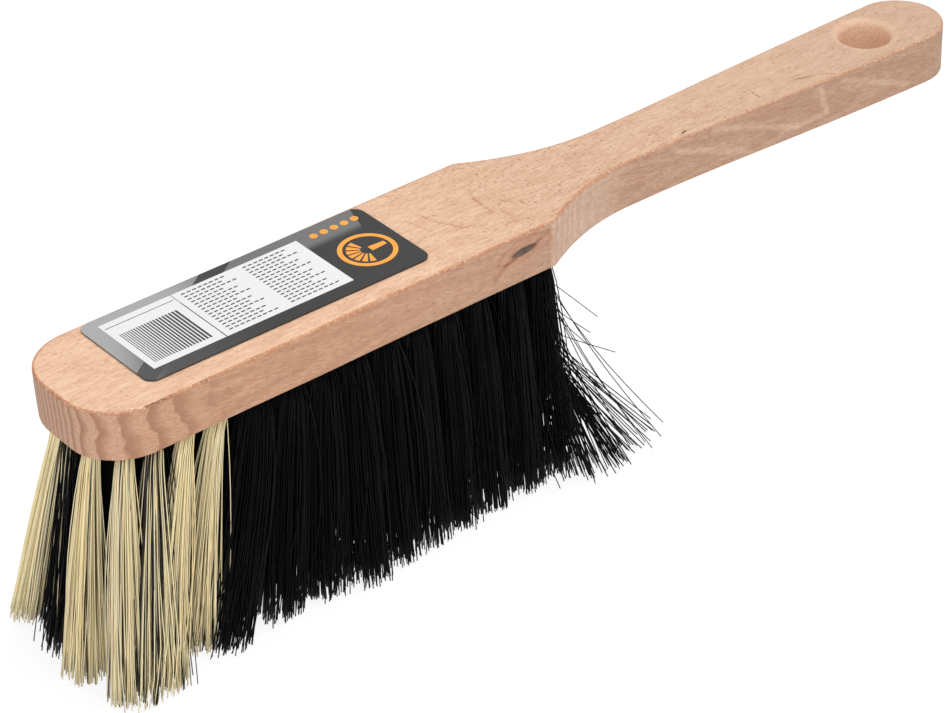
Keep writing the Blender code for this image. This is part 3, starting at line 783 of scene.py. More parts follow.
def edge_layers(n, base, x, y, point, edge, settings):
    """The rough orange-brown edge, its scorched runs near the toe and a few pale chips."""
    rough = n.noise(point, (1.1, 1.9, 1.9), 3.0, 0.75)
    ragged = n.times_add(n.minus(rough, 0.5), 2.4, edge)
    patches = n.noise(point, (0.16, 0.22, 0.22))
    burr = n.times(n.ramp(ragged, 0.30, 0.72), n.ramp(edge, 0.02, 0.25))
    burr = n.times(burr, n.ramp(patches, 0.34, 0.58, 0.60, 1.0))
    burr = n.times(burr, n.ramp(x, 10.0, 60.0, 1.0, 0.58))
    base = n.layer(base, 0.92, burr, settings.burr)
    ticks = n.noise(point, (1.8, 1.2, 1.2), 2.0, 0.6)
    base = n.layer(base, 0.55, n.times(edge, n.ramp(ticks, 0.56, 0.64)), (0.26, 0.110, 0.055))
    base = n.layer(base, 0.45, n.times(edge, n.fade(ticks, 0.36, 0.43)), (0.86, 0.62, 0.46))
    near_edge = n.times(n.power(edge, 2.0), n.fade(y, -18.0, -16.6))
    streak = n.noise(point, (0.8, 2.5, 2.5), 2.0, 0.6)
    for start, end in SCORCHED_RUNS:
        run = n.times(n.ramp(x, start, start + 0.8), n.fade(x, end - 0.8, end))
        scorch = n.times(n.times(run, near_edge), n.ramp(streak, 0.40, 0.50))
        base = n.layer(base, 0.97, scorch, (0.045, 0.028, 0.022))
    chips = stroke(n, point, (-129.2, -17.6, 74.1), (-125.6, -19.6, 74.1), 0.15, 0.45)
    chips = n.times(chips, n.ramp(rough, 0.50, 0.60))
    return n.layer(base, 0.85, chips, (0.95, 0.86, 0.78)), rough, burr


def beech_material(settings):
    """Planed and sanded beech: rings, rays, flecks, a knot, rough edges and tool marks, with painted shade on the
    sides and the toe's end and painted light inside the holes.
    """
    material, n, shader = new_material("sanded_beech", 0.58, 0.30)
    point = n.object_point()
    x, y, z = n.separate(point)
    wall, edge, end_grain, bore, shoulder, around = [
        n.attribute(name) for name in ("wall", "edge", "end_grain", "bore", "shoulder", "around")
    ]
    top = n.minus(1.0, wall, clamp=True)
    near_side = n.times(n.fade(y, -9.0, -8.0), wall)

    broad = n.noise(point, (0.018, 0.05, 0.05))
    mottle = n.noise(point, (0.12, 0.30, 0.30), 3.0, 0.6)
    ripple = n.noise(point, (0.26, 0.95, 0.95), 2.0, 0.6)
    fibre = n.noise(point, (0.24, 1.5, 1.5), 3.0, 0.66)
    hair = n.noise(point, (0.42, 2.5, 2.5), 2.0, 0.7)
    grain = n.noise(point, (0.9, 2.6, 2.6), 2.0, 0.7)
    slope = n.combine(n.times_add(z, -0.9, x), y, n.times_add(x, 0.20, z))
    rays = n.noise(slope, (0.36, 2.3, 2.3), 3.0, 0.62)
    wander = n.noise(point, (0.014, 0.030, 0.090), 2.0, 0.42, (6.3, 2.4, 1.7))
    small_wander = n.noise(point, (0.10, 0.12, 0.20), 1.0)

    rings = ring_pattern(n, x, y, z, wander, small_wander, settings.ring_spacing)
    combed = n.times_add(small_wander, 1.6, n.times_add(y, 0.22, n.times(x, 1.15)))
    combed = n.ramp(n.sine(n.times(combed, FULL_TURN)), -0.2, 1.0)
    combed = n.times(combed, n.ramp(mottle, 0.44, 0.62))
    combed = n.times(combed, n.times(top, n.fade(x, -12.0, 4.0)))
    long_rings = n.times_add(wander, 7.0, n.over(y, 6.5))
    long_rings = n.times(n.ramp(n.sine(n.times(long_rings, FULL_TURN)), 0.0, 1.0), top)
    flecks = fleck_pattern(n, point, x, mottle)

    dark = settings.dark_wood
    # painted shade: the walls take a darker, more saturated colour than the top
    base = n.mix(wall, settings.light_wood, settings.shaded_side_wood)
    # the end grain at the toe is darker: partly the end grain's own tone, partly painted shade on the toe's front
    base = n.mix(n.times(end_grain, 0.45), base, (0.43, 0.325, 0.262))
    base = n.tinted(n.ramp(broad, 0.32, 0.70, 0.0, 0.40), base, (0.90, 0.87, 0.84))
    pale = n.mix(1.0, base, (1.12, 1.15, 1.20), "MULTIPLY")
    base = n.mix(n.times(n.ramp(ripple, 0.46, 0.66), 0.60), base, pale)
    calm = n.times(n.ramp(x, 20.0, 90.0, 0.0, 0.14), top)
    base = n.layer(base, n.minus(n.times_add(wall, 0.06, 0.32), calm), n.ramp(fibre, 0.46, 0.60), dark)
    base = n.layer(base, n.minus(n.times_add(wall, 0.06, 0.34), calm), n.ramp(hair, 0.50, 0.61), dark)
    base = n.layer(base, n.times_add(wall, 0.14, 0.18), n.ramp(grain, 0.50, 0.62), dark)
    base = n.layer(base, n.times(wall, 0.58), n.ramp(rays, 0.50, 0.60), (0.40, 0.195, 0.120))
    base = n.mix(n.times(n.fade(rays, 0.34, 0.47), n.times(wall, 0.55)), base, pale)
    base = n.mix(n.times(n.fade(grain, 0.36, 0.46), 0.30), base, pale)
    base = n.layer(base, 0.14, n.ramp(mottle, 0.42, 0.66), dark)
    base = n.layer(base, 0.10, long_rings, dark)
    base = n.layer(base, 0.26, combed, dark)
    ring_strength = n.times_add(end_grain, 0.10, n.ramp(x, -124.0, -90.0, 0.74, 0.24))
    base = n.mix(n.times(rings, wall, ring_strength), base, (0.31, 0.145, 0.080))
    base = n.layer(base, n.ramp(x, -30.0, 0.0, 0.50, 0.72), flecks, settings.fleck)
    base = n.tinted(n.times(n.ramp(x, -70.0, 5.0, 0.0, 1.0), wall), base, (0.95, 1.03, 1.10))
    base = n.tinted(n.times(n.ramp(x, -66.0, 26.0), top), base, (0.84, 0.84, 0.84))
    handle_tone = n.times(n.ramp(x, 10.0, 140.0, 0.0, 0.72), n.times_add(wall, -0.55, 1.0))
    base = n.tinted(handle_tone, base, (0.80, 0.82, 0.84))
    # painted light: the insides of the hang hole and of the tuft holes are made paler, standing in for light that
    # reaches into them
    base = n.layer(base, 0.85, bore, (0.84, 0.57, 0.40))
    bore_rings = n.times_add(small_wander, 2.0, n.plus(y, n.times(z, 0.5)))
    bore_rings = n.ramp(n.sine(n.times(bore_rings, 4.2)), -0.3, 1.0)
    base = n.layer(base, 0.10, n.times(bore_rings, bore), BORE_RING)
    base = n.layer(base, 0.30, n.times(n.ramp(rays, 0.48, 0.60), bore), BORE_RING)

    chatter = n.times_add(z, 0.10, n.times(around, FULL_TURN / (3.6 * MM)))
    chatter = n.ramp(n.sine(n.times_add(small_wander, 13.0, chatter)), -0.5, 1.0)
    chatter = n.times(chatter, n.times(shoulder, n.ramp(mottle, 0.34, 0.62, 0.25, 1.0)))
    chatter = n.times(chatter, n.ramp(x, 12.0, 24.0, 1.0, 0.15))
    base = n.layer(base, 0.20, shoulder, (0.86, 0.64, 0.50))
    base = n.layer(base, 0.22, chatter, (0.90, 0.70, 0.56))
    wriggle = n.noise(point, (0.35, 0.35, 0.60), 2.0, 0.6)
    base = knot_layers(n, base, x, z, wriggle, near_side, fibre)
    base = grip_seams(n, base, x, z, wriggle, near_side, fibre)
    base = top_marks(n, base, x, y, wriggle, fibre, top)
    base, rough, burr = edge_layers(n, base, x, y, point, edge, settings)
    n.set(shader.inputs["Base Color"], base)

    relief = n.times_add(hair, 0.35, n.times(fibre, 0.75))
    relief = n.times_add(flecks, -0.45, relief)
    relief = n.times_add(burr, -0.9, relief)
    relief = n.times_add(chatter, 0.12, relief)
    relief = n.times_add(n.times(rough, edge), 1.6, relief)
    n.bump(shader, 0.42, 0.16 * MM, relief)
    n.set(shader.inputs["Roughness"], n.ramp(fibre, 0.2, 0.8, 0.52, 0.66))
    return material


class HANDBRUSH_OT_plank(bpy.types.Operator):
    """Builds the beech plank that is both block and handle"""

    bl_idname = "hand_brush.plank"
    bl_label = "Plank"

    def execute(self, context):
        settings = context.scene.hand_brush_plank
        mesh = make_plank_mesh(settings)
        mesh.materials.append(beech_material(settings))
        mount_piece(new_object("beech_plank", mesh), ["wooden_body"])
        return {"FINISHED"}


# the label's print
PANEL_MARGIN, PANEL_FAR_MARGIN = 4.2 * MM, 3.2 * MM
STRIPE_FIELD, RULED_FIELD, HALF_FIELD_GAP = 21.4 * MM, 38.4 * MM, 0.15 * MM
STRIPES_START, STRIPES_END = 1.9 * MM, 1.7 * MM
STRIPES_NEAR, STRIPES_FAR = 2.2 * MM, 6.4 * MM
STRIPE_WIDTH, STRIPE_GROWTH, STRIPE_GAP = 0.20 * MM, 0.020 * MM, 0.42 * MM
RULE_MARGIN, RULE_FAR, RULE_WIDTH = 0.5 * MM, 2.4 * MM, 0.2 * MM
DASH_COLUMNS = (2.0 * MM, 20.6 * MM)
DASHES_IN_ROW = (9, 7, 8, 6)
DASH_LENGTH, DASH_WIDTH = 1.16 * MM, 0.44 * MM
DASH_PITCH, ROW_PITCH = 1.68 * MM, 1.46 * MM
ROWS_NEAR, ROWS_FAR = 1.9 * MM, 1.6 * MM
RING_RADII, RING_SIDES = (7.7 * MM, 6.4 * MM), 48
RAYS = 7
RAY_FOOT, RAY_TIP = (1.9 * MM, 0.10), (5.5 * MM, 0.145)
DOT_RADIUS, DOT_SIDES, DOT_PITCH = 1.1 * MM, 24, 3.2
ADHESIVE_INSET, ADHESIVE_CORNER = 0.1 * MM, 2.9 * MM


def film_material(settings):
    """Dark satin film with a painted reflection: paler toward the toe and in a slanting facet near the far edge, cut
    by a darker slanting band.
    """
    material, n, shader = new_material("printed_film", 0.34, 0.24)
    point = n.object_point()
    x, y, _ = n.separate(point)
    # painted reflection: the film is painted paler toward the toe, along the near strip and in a slanting facet near
    # the far edge, with a darker slanting band where the painted reflection breaks
    toe_reflection = n.ramp(n.times_add(y, -0.5, x), -122.0, -105.5, 0.86, 0.0)
    far_reflection = n.times(n.ramp(y, 9.0, 12.5), n.ramp(x, -96.0, -74.0, 0.88, 0.36))
    far_reflection = n.times(far_reflection, n.number("LESS_THAN", n.times_add(y, -0.3, x), -41.5))
    sloped = n.times_add(y, -1.4, x)
    reflection_gap = n.times(n.number("GREATER_THAN", sloped, -109.0), n.number("LESS_THAN", sloped, -99.5))
    grain = n.noise(point, (6.0, 6.0, 6.0))
    tone = n.times(n.number("MAXIMUM", toe_reflection, far_reflection), n.times_add(reflection_gap, -0.96, 1.0))
    tone = n.plus(tone, n.ramp(x, -114.0, -76.0, 0.11, 0.01))
    tone = n.times_add(n.minus(grain, 0.5), 0.05, tone, clamp=True)
    n.set(shader.inputs["Base Color"], n.mix(tone, settings.film, settings.film_reflection))
    scuff = n.noise(point, (0.5, 1.5, 1.0), 3.0, 0.65)
    n.set(shader.inputs["Roughness"], n.ramp(scuff, 0.35, 0.75, 0.30, 0.42))
    n.bump(shader, 0.10, 0.05 * MM, grain)
    return material


def ink_material(name, tone, roughness):
    """Printed ink or paper with a faint unevenness."""
    material, n, shader = new_material(name, roughness, 0.4)
    uneven = n.noise(n.object_point(), (3.0, 3.0, 3.0), 3.0, 0.6)
    deeper = tuple(0.90 * value for value in tone)
    n.set(shader.inputs["Base Color"], n.mix(n.ramp(uneven, 0.35, 0.70), tone, deeper))
    n.bump(shader, 0.06, 0.04 * MM, uneven)
    return material


def add_prism(bm, outline, bottom, height):
    """A closed plate with this outline."""
    lower, upper = [add_loop(bm, [(x, y, z) for x, y in outline]) for z in (bottom, bottom + height)]
    bm.faces.new(lower[::-1])
    bm.faces.new(upper)
    skin(bm, [lower, upper])


def add_frame(bm, outer, inner, bottom, height):
    """A closed plate with a hole of as many corners as its outline."""
    levels = ((outer, bottom), (outer, bottom + height), (inner, bottom + height), (inner, bottom))
    loops = [add_loop(bm, [(x, y, z) for x, y in outline]) for outline, z in levels]
    skin(bm, loops + loops[:1])


def block(left, near, right, far):
    """Corners of a rectangle."""
    return [(left, near), (right, near), (right, far), (left, far)]


def rounded_block(left, near, right, far, radius, sides=6):
    """Corners of a rectangle with rounded corners."""
    outline = []
    for x, y, turn in (
        (right - radius, near + radius, -0.5),
        (right - radius, far - radius, 0.0),
        (left + radius, far - radius, 0.5),
        (left + radius, near + radius, 1.0),
    ):
        outline += circle((x, y), radius, sides, turn * math.pi, (turn + 0.5) * math.pi)
    return outline


def print_piece(name, shapes, material):
    """A piece of print from its plates."""
    bm = bmesh.new()
    for shape in shapes:
        if len(shape) == 4:
            add_frame(bm, *shape)
        else:
            add_prism(bm, *shape)
    mesh = finished_mesh(bm, name)
    mesh.materials.append(material)
    mount_piece(new_object(name, mesh))


def panel_outlines():
    """The two parts of the pale panel: the stripe field at the toe and the ruled field."""
    near, far = LABEL_LOW.y + PANEL_MARGIN, LABEL_HIGH.y - PANEL_FAR_MARGIN
    left = LABEL_LOW.x + PANEL_MARGIN
    split = left + STRIPE_FIELD
    right = split + RULED_FIELD
    return block(left, near, split - HALF_FIELD_GAP, far), block(split + HALF_FIELD_GAP, near, right, far)


def ink_shapes(bottom, height):
    """Stripes, a rule and rows of dashes printed on the pale panel."""
    stripes, ruled = panel_outlines()
    blocks = []
    (left, near), (right, far) = stripes[0], stripes[2]
    x = left + STRIPES_START
    width = STRIPE_WIDTH
    while x + width < right - STRIPES_END:
        blocks.append(block(x, near + STRIPES_NEAR, x + width, far - STRIPES_FAR))
        x += width + STRIPE_GAP
        width += STRIPE_GROWTH
    rule_y = far - RULE_FAR
    blocks.append(block(left + RULE_MARGIN, rule_y, right - RULE_MARGIN, rule_y + RULE_WIDTH))
    (left, near), (_, far) = ruled[0], ruled[2]
    for column in DASH_COLUMNS:
        y = near + ROWS_NEAR
        row = 0
        while y < far - ROWS_FAR:
            for dash in range(DASHES_IN_ROW[row % len(DASHES_IN_ROW)]):
                x = left + column + DASH_PITCH * dash
                blocks.append(block(x, y, x + DASH_LENGTH, y + DASH_WIDTH))
            y += ROW_PITCH
            row += 1
    return [(outline, bottom, height) for outline in blocks]


def emblem_shapes(bottom, height):
    """A ring with a fan of rays, and a row of dots beside it."""
    x, y = centre = (LABEL_HIGH.x - 10.4 * MM, (LABEL_LOW.y + LABEL_HIGH.y) / 2.0 - 2.6 * MM)
    shapes = [(*[circle(centre, radius, RING_SIDES) for radius in RING_RADII], bottom, height)]
    for step in range(RAYS):
        angle = math.pi * (0.62 + 0.76 * step / (RAYS - 1))
        foot, tip = [
            circle(centre, radius, sides, angle - half, angle + half)
            for (radius, half), sides in ((RAY_FOOT, 3), (RAY_TIP, 5))
        ]
        shapes.append((foot[:1] + tip + foot[2:], bottom, height))
    handle = [(x + 0.8 * MM, y - 1.1 * MM), (x + 5.5 * MM, y - 0.75 * MM)]
    shapes.append((handle + [(along, 2.0 * y - across) for along, across in handle[::-1]], bottom, height))
    for step in range(-2, 3):
        dot = (x + step * DOT_PITCH * MM, LABEL_HIGH.y - 4.3 * MM)
        shapes.append((circle(dot, DOT_RADIUS, DOT_SIDES), bottom, height))
    return shapes


class HANDBRUSH_OT_label(bpy.types.Operator):
    """Finishes the label's film and lays the print on it"""

    bl_idname = "hand_brush.label"
    bl_label = "Label"

    def execute(self, context):
        settings = context.scene.hand_brush_label
        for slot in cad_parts["label_sticker"].material_slots:
            slot.link = "OBJECT"
            slot.material = film_material(settings)
        print_layer = settings.print_thickness
        top = LABEL_HIGH.z
        (left, near), (right, far) = LABEL_LOW.xy, LABEL_HIGH.xy
        inset = ADHESIVE_INSET
        adhesive = rounded_block(left + inset, near + inset, right - inset, far - inset, ADHESIVE_CORNER)
        panels = [(outline, top, print_layer) for outline in panel_outlines()]
        rules = ink_shapes(top + print_layer, print_layer)
        for name, shapes, finish, tone, roughness in (
            ("label_adhesive", [(adhesive, TOP_Z, LABEL_LOW.z - TOP_Z)], "adhesive_film", settings.ink, 0.50),
            ("label_panel", panels, "pale_print", settings.panel, 0.42),
            ("label_rules", rules, "dark_print", settings.ink, 0.45),
            ("label_emblem", emblem_shapes(top, print_layer), "orange_print", settings.emblem, 0.40),
        ):
            print_piece(name, shapes, ink_material(finish, tone, roughness))
        return {"FINISHED"}


# the filaments: powers by which a lean and a fan grow along the filament
LEAN_POWER = 1.25
FAN_POWER = 1.06
SEED_STEP = 65537.0
BUNDLE_SEED, BUNDLE_FILAMENTS = 8, 9
STRAY_SEED = 9
STRAY_LEAN = 0.12
ROOT_DEPTH = 3.0 * MM
DRIFT, CREAM_DRIFT, CREAM_BOW = 0.8 * MM, 0.6 * MM, 0.6 * MM
OPENING, CREAM_OPENING = 0.42, 1.0
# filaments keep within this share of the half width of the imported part
ROOM_SHARE = 1.05
# what the tree reads of each tuft, with the usual value
TUFT_VALUES = {
    "lean": (0.0, 0.0, 0.0),
    "lean_power": LEAN_POWER,
    "fan": (0.0, 0.0, 0.0),
    "fan_share": 0.0,
    "fan_power": 2.0,
    "fan_from": 0.32,
    "dark_share": 1.0,
    "full": 2.0,
    "raise": 0.0,
    "spread": 1.0,
    "loose": 1.0,
}
TREE_INPUTS = {
    "Geometry": "Geometry", "Filaments": "Int", "Diameter": "Float", "Segments": "Int", "Free Length": "Float",
    "Root Depth": "Float", "Root Radius": "Float", "Tip Radius": "Float", "Ragged Tips": "Float", "Drift": "Float",
    "Bow": "Float", "Opening": "Float", "Half Room": "Float", "Seed": "Int", "Material": "Material",
}
KEPT_ATTRIBUTES = ("tone", "dark", "sharp_face", "material_index")
# the tuft that keeps only this share of its filaments
THIN_TUFT, THIN_SHARE = "rim_tuft_13", 0.45
# fans of filaments at the heel: how far the furthest stands out, in millimetres, and the share
# that fans
HEEL_FANS = {
    "rim_tuft_01": ((17.0, -8.0), 0.20),
    "rim_tuft_02": ((12.0, -6.0), 0.10),
    "near_core_tuft_13": ((20.0, -10.0), 0.12),
    "far_core_tuft_13": ((18.0, 2.0), 0.14),
    "rim_tuft_31": ((20.0, 6.0), 0.12),
}
# bundles that splay out of the heel, in millimetres: tip, the share of the fall at which they
# leave, spread
HEEL_BUNDLE_ROOT = (-2.8, -14.5)
HEEL_BUNDLE_LEAN = (1.2, -6.5)
HEEL_BUNDLES = (
    ((28.6, -26.4), 0.40, 0.55), ((22.6, -29.4), 0.42, 0.45), ((18.0, -29.2), 0.44, 0.35),
    ((13.6, -30.8), 0.42, 0.30), ((12.0, -31.6), 0.46, 0.30), ((9.0, -32.4), 0.44, 0.35),
    ((6.4, -31.6), 0.40, 0.40), ((4.0, -32.6), 0.46, 0.40), ((1.6, -32.2), 0.50, 0.40),
    ((-0.6, -30.6), 0.44, 0.45), ((3.0, -28.0), 0.40, 0.50),
)
# single filaments that stand away from the rest, in millimetres: root, tip, how dark, and where
# one leaves its tuft late, the share of the fall at which it does
STRAYS = (
    ((-2.4, -15.2), (32.6, -24.2, 0.2), 1.0),
    ((-2.0, -15.8), (27.9, -28.8, 0.2), 1.0),
    ((-3.2, -16.0), (22.6, -31.4, 0.2), 1.0),
    ((-2.2, -14.6), (22.9, -28.1, 0.2), 1.0),
    ((-2.8, -16.4), (17.6, -29.0, 0.2), 1.0),
    ((-3.6, -15.4), (13.3, -31.9, 0.2), 1.0),
    ((-2.2, -15.0), (9.8, -33.1, 0.2), 1.0),
    ((-4.2, -16.6), (0.7, -33.8, 0.2), 1.0),
    ((-2.0, -14.0), (24.5, -7.0, 29.0), 1.0, 0.16),
    ((-2.2, -12.6), (20.0, -9.4, 27.0), 1.0, 0.36),
    ((-1.8, -13.4), (18.5, -11.2, 24.0), 1.0, 0.40),
    ((-1.4, -12.8), (25.7, -12.7, 20.0), 1.0, 0.52),
    ((-120.6, -18.2), (-130.6, -34.0, 0.3), 1.0),
    ((-118.6, -18.0), (-126.4, -34.2, 0.3), 1.0),
    ((-119.4, -17.8), (-128.0, -33.6, 0.3), 1.0),
    # the next filament is pale: a painted highlight, standing for a black filament that catches the light
    ((-101.2, -17.4), (-112.2, -26.6, 0.3), 0.0),
    ((-20.0, -16.6), (-36.0, -27.0, 0.3), 1.0),
)


def filament_tree():
    """Geometry nodes that grow every filament of each tuft from one point with its lean."""
    tree = bpy.data.node_groups.new("filament_tufts", "GeometryNodeTree")
    face = tree.interface
    face.new_socket("Geometry", in_out="OUTPUT", socket_type="NodeSocketGeometry")
    for label, kind in TREE_INPUTS.items():
        face.new_socket(label, in_out="INPUT", socket_type="NodeSocket" + kind)
    n = Nodes(tree)
    given = n.add("NodeGroupInput").outputs
    copied = {"Geometry": given["Geometry"], "Amount": given["Filaments"]}
    copies = n.get("GeometryNodeDuplicateElements", copied, domain="POINT")
    index = n.get("GeometryNodeInputIndex")
    identity = n.times_add(given["Seed"], SEED_STEP, index)

    def draw(salt, low=0.0, high=1.0):
        inputs = {"ID": identity, "Seed": salt, 2: low, 3: high}
        return n.add("FunctionNodeRandomValue", inputs, data_type="FLOAT").outputs[1]

    def draw_flat(salt):
        return n.combine(draw(salt, -1.0, 1.0), draw(salt + 1, -1.0, 1.0))

    def named(name, kind="FLOAT"):
        return n.add("GeometryNodeInputNamedAttribute", {"Name": name}, data_type=kind).outputs["Attribute"]

    def moved(name, scale):
        return n.scaled(named(name, "FLOAT_VECTOR"), scale)

    angle = draw(1, 0.0, FULL_TURN)
    reach = n.power(draw(2), 0.5)
    fans = n.number("LESS_THAN", draw(12), named("fan_share"))
    kept = [
        ("root", "FLOAT_VECTOR", n.get("GeometryNodeInputPosition")),
        ("disc", "FLOAT_VECTOR", n.combine(n.times(n.number("COSINE", angle), reach), n.times(n.sine(angle), reach))),
        ("stray", "FLOAT_VECTOR", draw_flat(3)),
        ("bowing", "FLOAT_VECTOR", draw_flat(5)),
        ("lift", "FLOAT", n.power(draw(7), 2.5)),
        ("fan_draw", "FLOAT", n.times(n.power(draw(8), named("fan_power")), fans)),
        ("fan_start", "FLOAT", n.plus(named("fan_from"), draw(13, -0.05, 0.05))),
        ("tone", "FLOAT", draw(9)),
        ("dark", "FLOAT", n.number("LESS_THAN", draw(10), named("dark_share"))),
        ("wild", "FLOAT", n.power(draw(11), 9.0)),
    ]
    thinned = {"Geometry": copies, "Selection": n.number("GREATER_THAN", draw(14), named("full"))}
    geometry = n.get("GeometryNodeDeleteGeometry", thinned, domain="POINT")
    for name, kind, value in kept:
        inputs = {"Geometry": geometry, "Name": name, "Value": value}
        geometry = n.get("GeometryNodeStoreNamedAttribute", inputs, data_type=kind, domain="POINT")
    line = n.get("GeometryNodeCurvePrimitiveLine", {"Start": (0.0, 0.0, 0.0), "End": (0.0, 0.0, -1.0)})
    line = n.get("GeometryNodeResampleCurve", {"Curve": line, "Count": n.plus(given["Segments"], 1.0)})
    spread = n.get("GeometryNodeInstanceOnPoints", {"Points": geometry, "Instance": line})
    loose = n.get("GeometryNodeRealizeInstances", {"Geometry": spread})

    share = n.get("GeometryNodeSplineParameter")
    fan_start = named("fan_start")
    past_start = n.number("MAXIMUM", n.minus(share, fan_start), 0.0)
    splayed = n.power(n.over(past_start, n.minus(1.0, fan_start)), FAN_POWER)
    wild = n.times_add(named("wild"), 3.5, 1.0)
    tip_radius = n.times(given["Tip Radius"], named("spread"))
    grown = n.times(n.minus(tip_radius, given["Root Radius"]), n.power(share, given["Opening"]))
    fall = n.plus(given["Free Length"], given["Root Depth"])
    fall = n.minus(fall, n.times(given["Ragged Tips"], named("lift")))
    fall = n.minus(fall, named("raise"))
    total = named("root", "FLOAT_VECTOR")
    for part in (
        moved("disc", n.plus(given["Root Radius"], grown)),
        moved("lean", n.power(share, named("lean_power"))),
        moved("stray", n.times(given["Drift"], named("loose"), wild, n.power(share, 1.6))),
        moved("bowing", n.times(given["Bow"], wild, n.sine(n.times(share, math.pi)))),
        moved("fan", n.times(named("fan_draw"), splayed)),
        n.combine(0.0, 0.0, n.minus(given["Root Depth"], n.times(fall, share))),
    ):
        total = n.vector("ADD", total, part)
    x, y, z = n.separate(total)
    nearest = n.times(given["Half Room"], -1.0)
    within = n.number("MAXIMUM", n.number("MINIMUM", y, given["Half Room"]), nearest)
    total = n.combine(x, within, n.number("MAXIMUM", z, 0.1 * MM))
    bent = n.get("GeometryNodeSetPosition", {"Geometry": loose, "Position": total})
    profile = {"Resolution": 3, "Radius": n.times(given["Diameter"], 0.5)}
    profile = n.get("GeometryNodeCurvePrimitiveCircle", profile)
    tubes = n.get("GeometryNodeCurveToMesh", {"Curve": bent, "Profile Curve": profile, "Fill Caps": True})
    shaded = n.get("GeometryNodeSetShadeSmooth", {"Geometry": tubes, "Shade Smooth": True})
    solid = n.get("GeometryNodeRealizeInstances", {"Geometry": shaded})
    finished = n.get("GeometryNodeSetMaterial", {"Geometry": solid, "Material": given["Material"]})
    n.add("NodeGroupOutput", {"Geometry": finished})
    return tree


def filament_material(name, settings, pale_share):
    """Plastic filament. The mesh says which filaments are dark and how each one's tone lies."""
    material, n, shader = new_material(name, 0.42, 0.12 + 0.33 * pale_share)
    tone = n.attribute("tone")
    dark = n.attribute("dark")
    along = n.noise(n.object_point(), (0.5, 0.5, 0.12), 1.0)
    deeper = n.times_add(along, 0.35, n.times_add(tone, 0.8, -0.2), clamp=True)
    pale = n.mix(deeper, settings.cream, settings.cream_shade)
    pale = n.mix(n.times(n.number("GREATER_THAN", tone, 0.90), 0.55), pale, (0.62, 0.60, 0.52))
    worn_black = tuple(1.9 * value for value in settings.black)
    black = n.mix(n.ramp(tone, 0.7, 1.0), settings.black, worn_black)
    n.set(shader.inputs["Base Color"], n.mix(dark, pale, black))
    n.set(shader.inputs["Roughness"], n.ramp(along, 0.2, 0.8, 0.36, 0.50))
    return material


def tuft_points(name, tufts):
    """A mesh with one point for each tuft, from its root and the values that TUFT_VALUES names."""
    mesh = bpy.data.meshes.new(name)
    mesh.from_pydata([root for root, _ in tufts], [], [])
    for label, usual in TUFT_VALUES.items():
        is_vector = isinstance(usual, tuple)
        attribute = mesh.attributes.new(label, "FLOAT_VECTOR" if is_vector else "FLOAT", "POINT")
        for item, (_, values) in zip(attribute.data, tufts):
            setattr(item, "vector" if is_vector else "value", values.get(label, usual))
    return mesh


def grow(name, tufts, tree, settings, material, seed, count, changes=None):
    """Runs the tree on the tufts and keeps the result as a plain mesh."""
    seedbed = new_object(name, tuft_points(name, tufts))
    modifier = seedbed.modifiers.new("filaments", "NODES")
    modifier.node_group = tree
    values = {
        "Filaments": count,
        "Diameter": settings.diameter,
        "Segments": settings.segments,
        "Free Length": UNDERSIDE_Z,
        "Root Depth": ROOT_DEPTH,
        "Root Radius": settings.hole_radius,
        "Tip Radius": settings.tip_radius,
        "Ragged Tips": settings.ragged,
        "Drift": DRIFT,
        "Bow": settings.bow,
        "Opening": OPENING,
        "Half Room": CAD_BOX[1].y * ROOM_SHARE,
        "Seed": seed,
        "Material": material,
    }
    values.update(changes or {})
    for item in tree.interface.items_tree:
        if item.in_out == "INPUT" and item.name in values:
            modifier[item.identifier] = values[item.name]
    evaluated = seedbed.evaluated_get(bpy.context.evaluated_depsgraph_get())
    mesh = bpy.data.meshes.new_from_object(evaluated)
    if len(mesh.polygons) == 0:
        raise RuntimeError(f"no filament grew for {name}")
    seedbed.modifiers.remove(modifier)
    mesh.name = name
    for label in [attribute.name for attribute in mesh.attributes]:
        attribute = mesh.attributes[label]
        if not (attribute.is_internal or attribute.is_required or label in KEPT_ATTRIBUTES):
            mesh.attributes.remove(attribute)
    seedbed.data = mesh
    return seedbed


def tuft_rows():
    """Pieces of filament: name, nodes that each stands for, and slot."""

    def nodes(row, *spans):
        return [f"{row}_tuft_{number:02d}" for first, last in spans for number in range(first, last + 1)]

    return [
        ("cream_toe_filaments", nodes("rim", (11, 15), (17, 21)), "cream_filament"),
        ("black_near_filaments", nodes("rim", (1, 10)), "black_filament"),
        ("black_far_filaments", nodes("rim", (16, 16), (22, 31)), "black_filament"),
        ("black_near_core_filaments", nodes("near_core", (1, 13)), "black_filament"),
        ("black_far_core_filaments", nodes("far_core", (1, 13)), "black_filament"),
    ]


def tuft_stance(node):
    """The root of a tuft and the values that the tree reads of it."""
    root, tip = TUFTS[node]
    values = {"lean": Vector((tip.x - root.x, tip.y - root.y, 0.0))}
    if node in STANCES:
        _, lean, power, dark, spread, loose = STANCES[node]
        values = {"lean": from_mm(*lean), "lean_power": power, "dark_share": dark, "spread": spread, "loose": loose}
    if node in HEEL_FANS:
        reach, values["fan_share"] = HEEL_FANS[node]
        values["fan"] = from_mm(*reach)
    if node == THIN_TUFT:
        values["full"] = THIN_SHARE
    return root, values


def heel_bundles():
    """Roots and values of the bundles that splay out of the heel."""
    root = from_mm(*HEEL_BUNDLE_ROOT, UNDERSIDE_Z)
    lean = from_mm(*HEEL_BUNDLE_LEAN)
    bundles = []
    for tip, start, spread in HEEL_BUNDLES:
        fan = from_mm(*tip) - from_mm(*HEEL_BUNDLE_ROOT) - lean
        values = {"lean": lean, "fan": fan, "fan_share": 1.0, "fan_power": 0.20, "fan_from": start, "spread": spread}
        bundles.append((root, values))
    return bundles


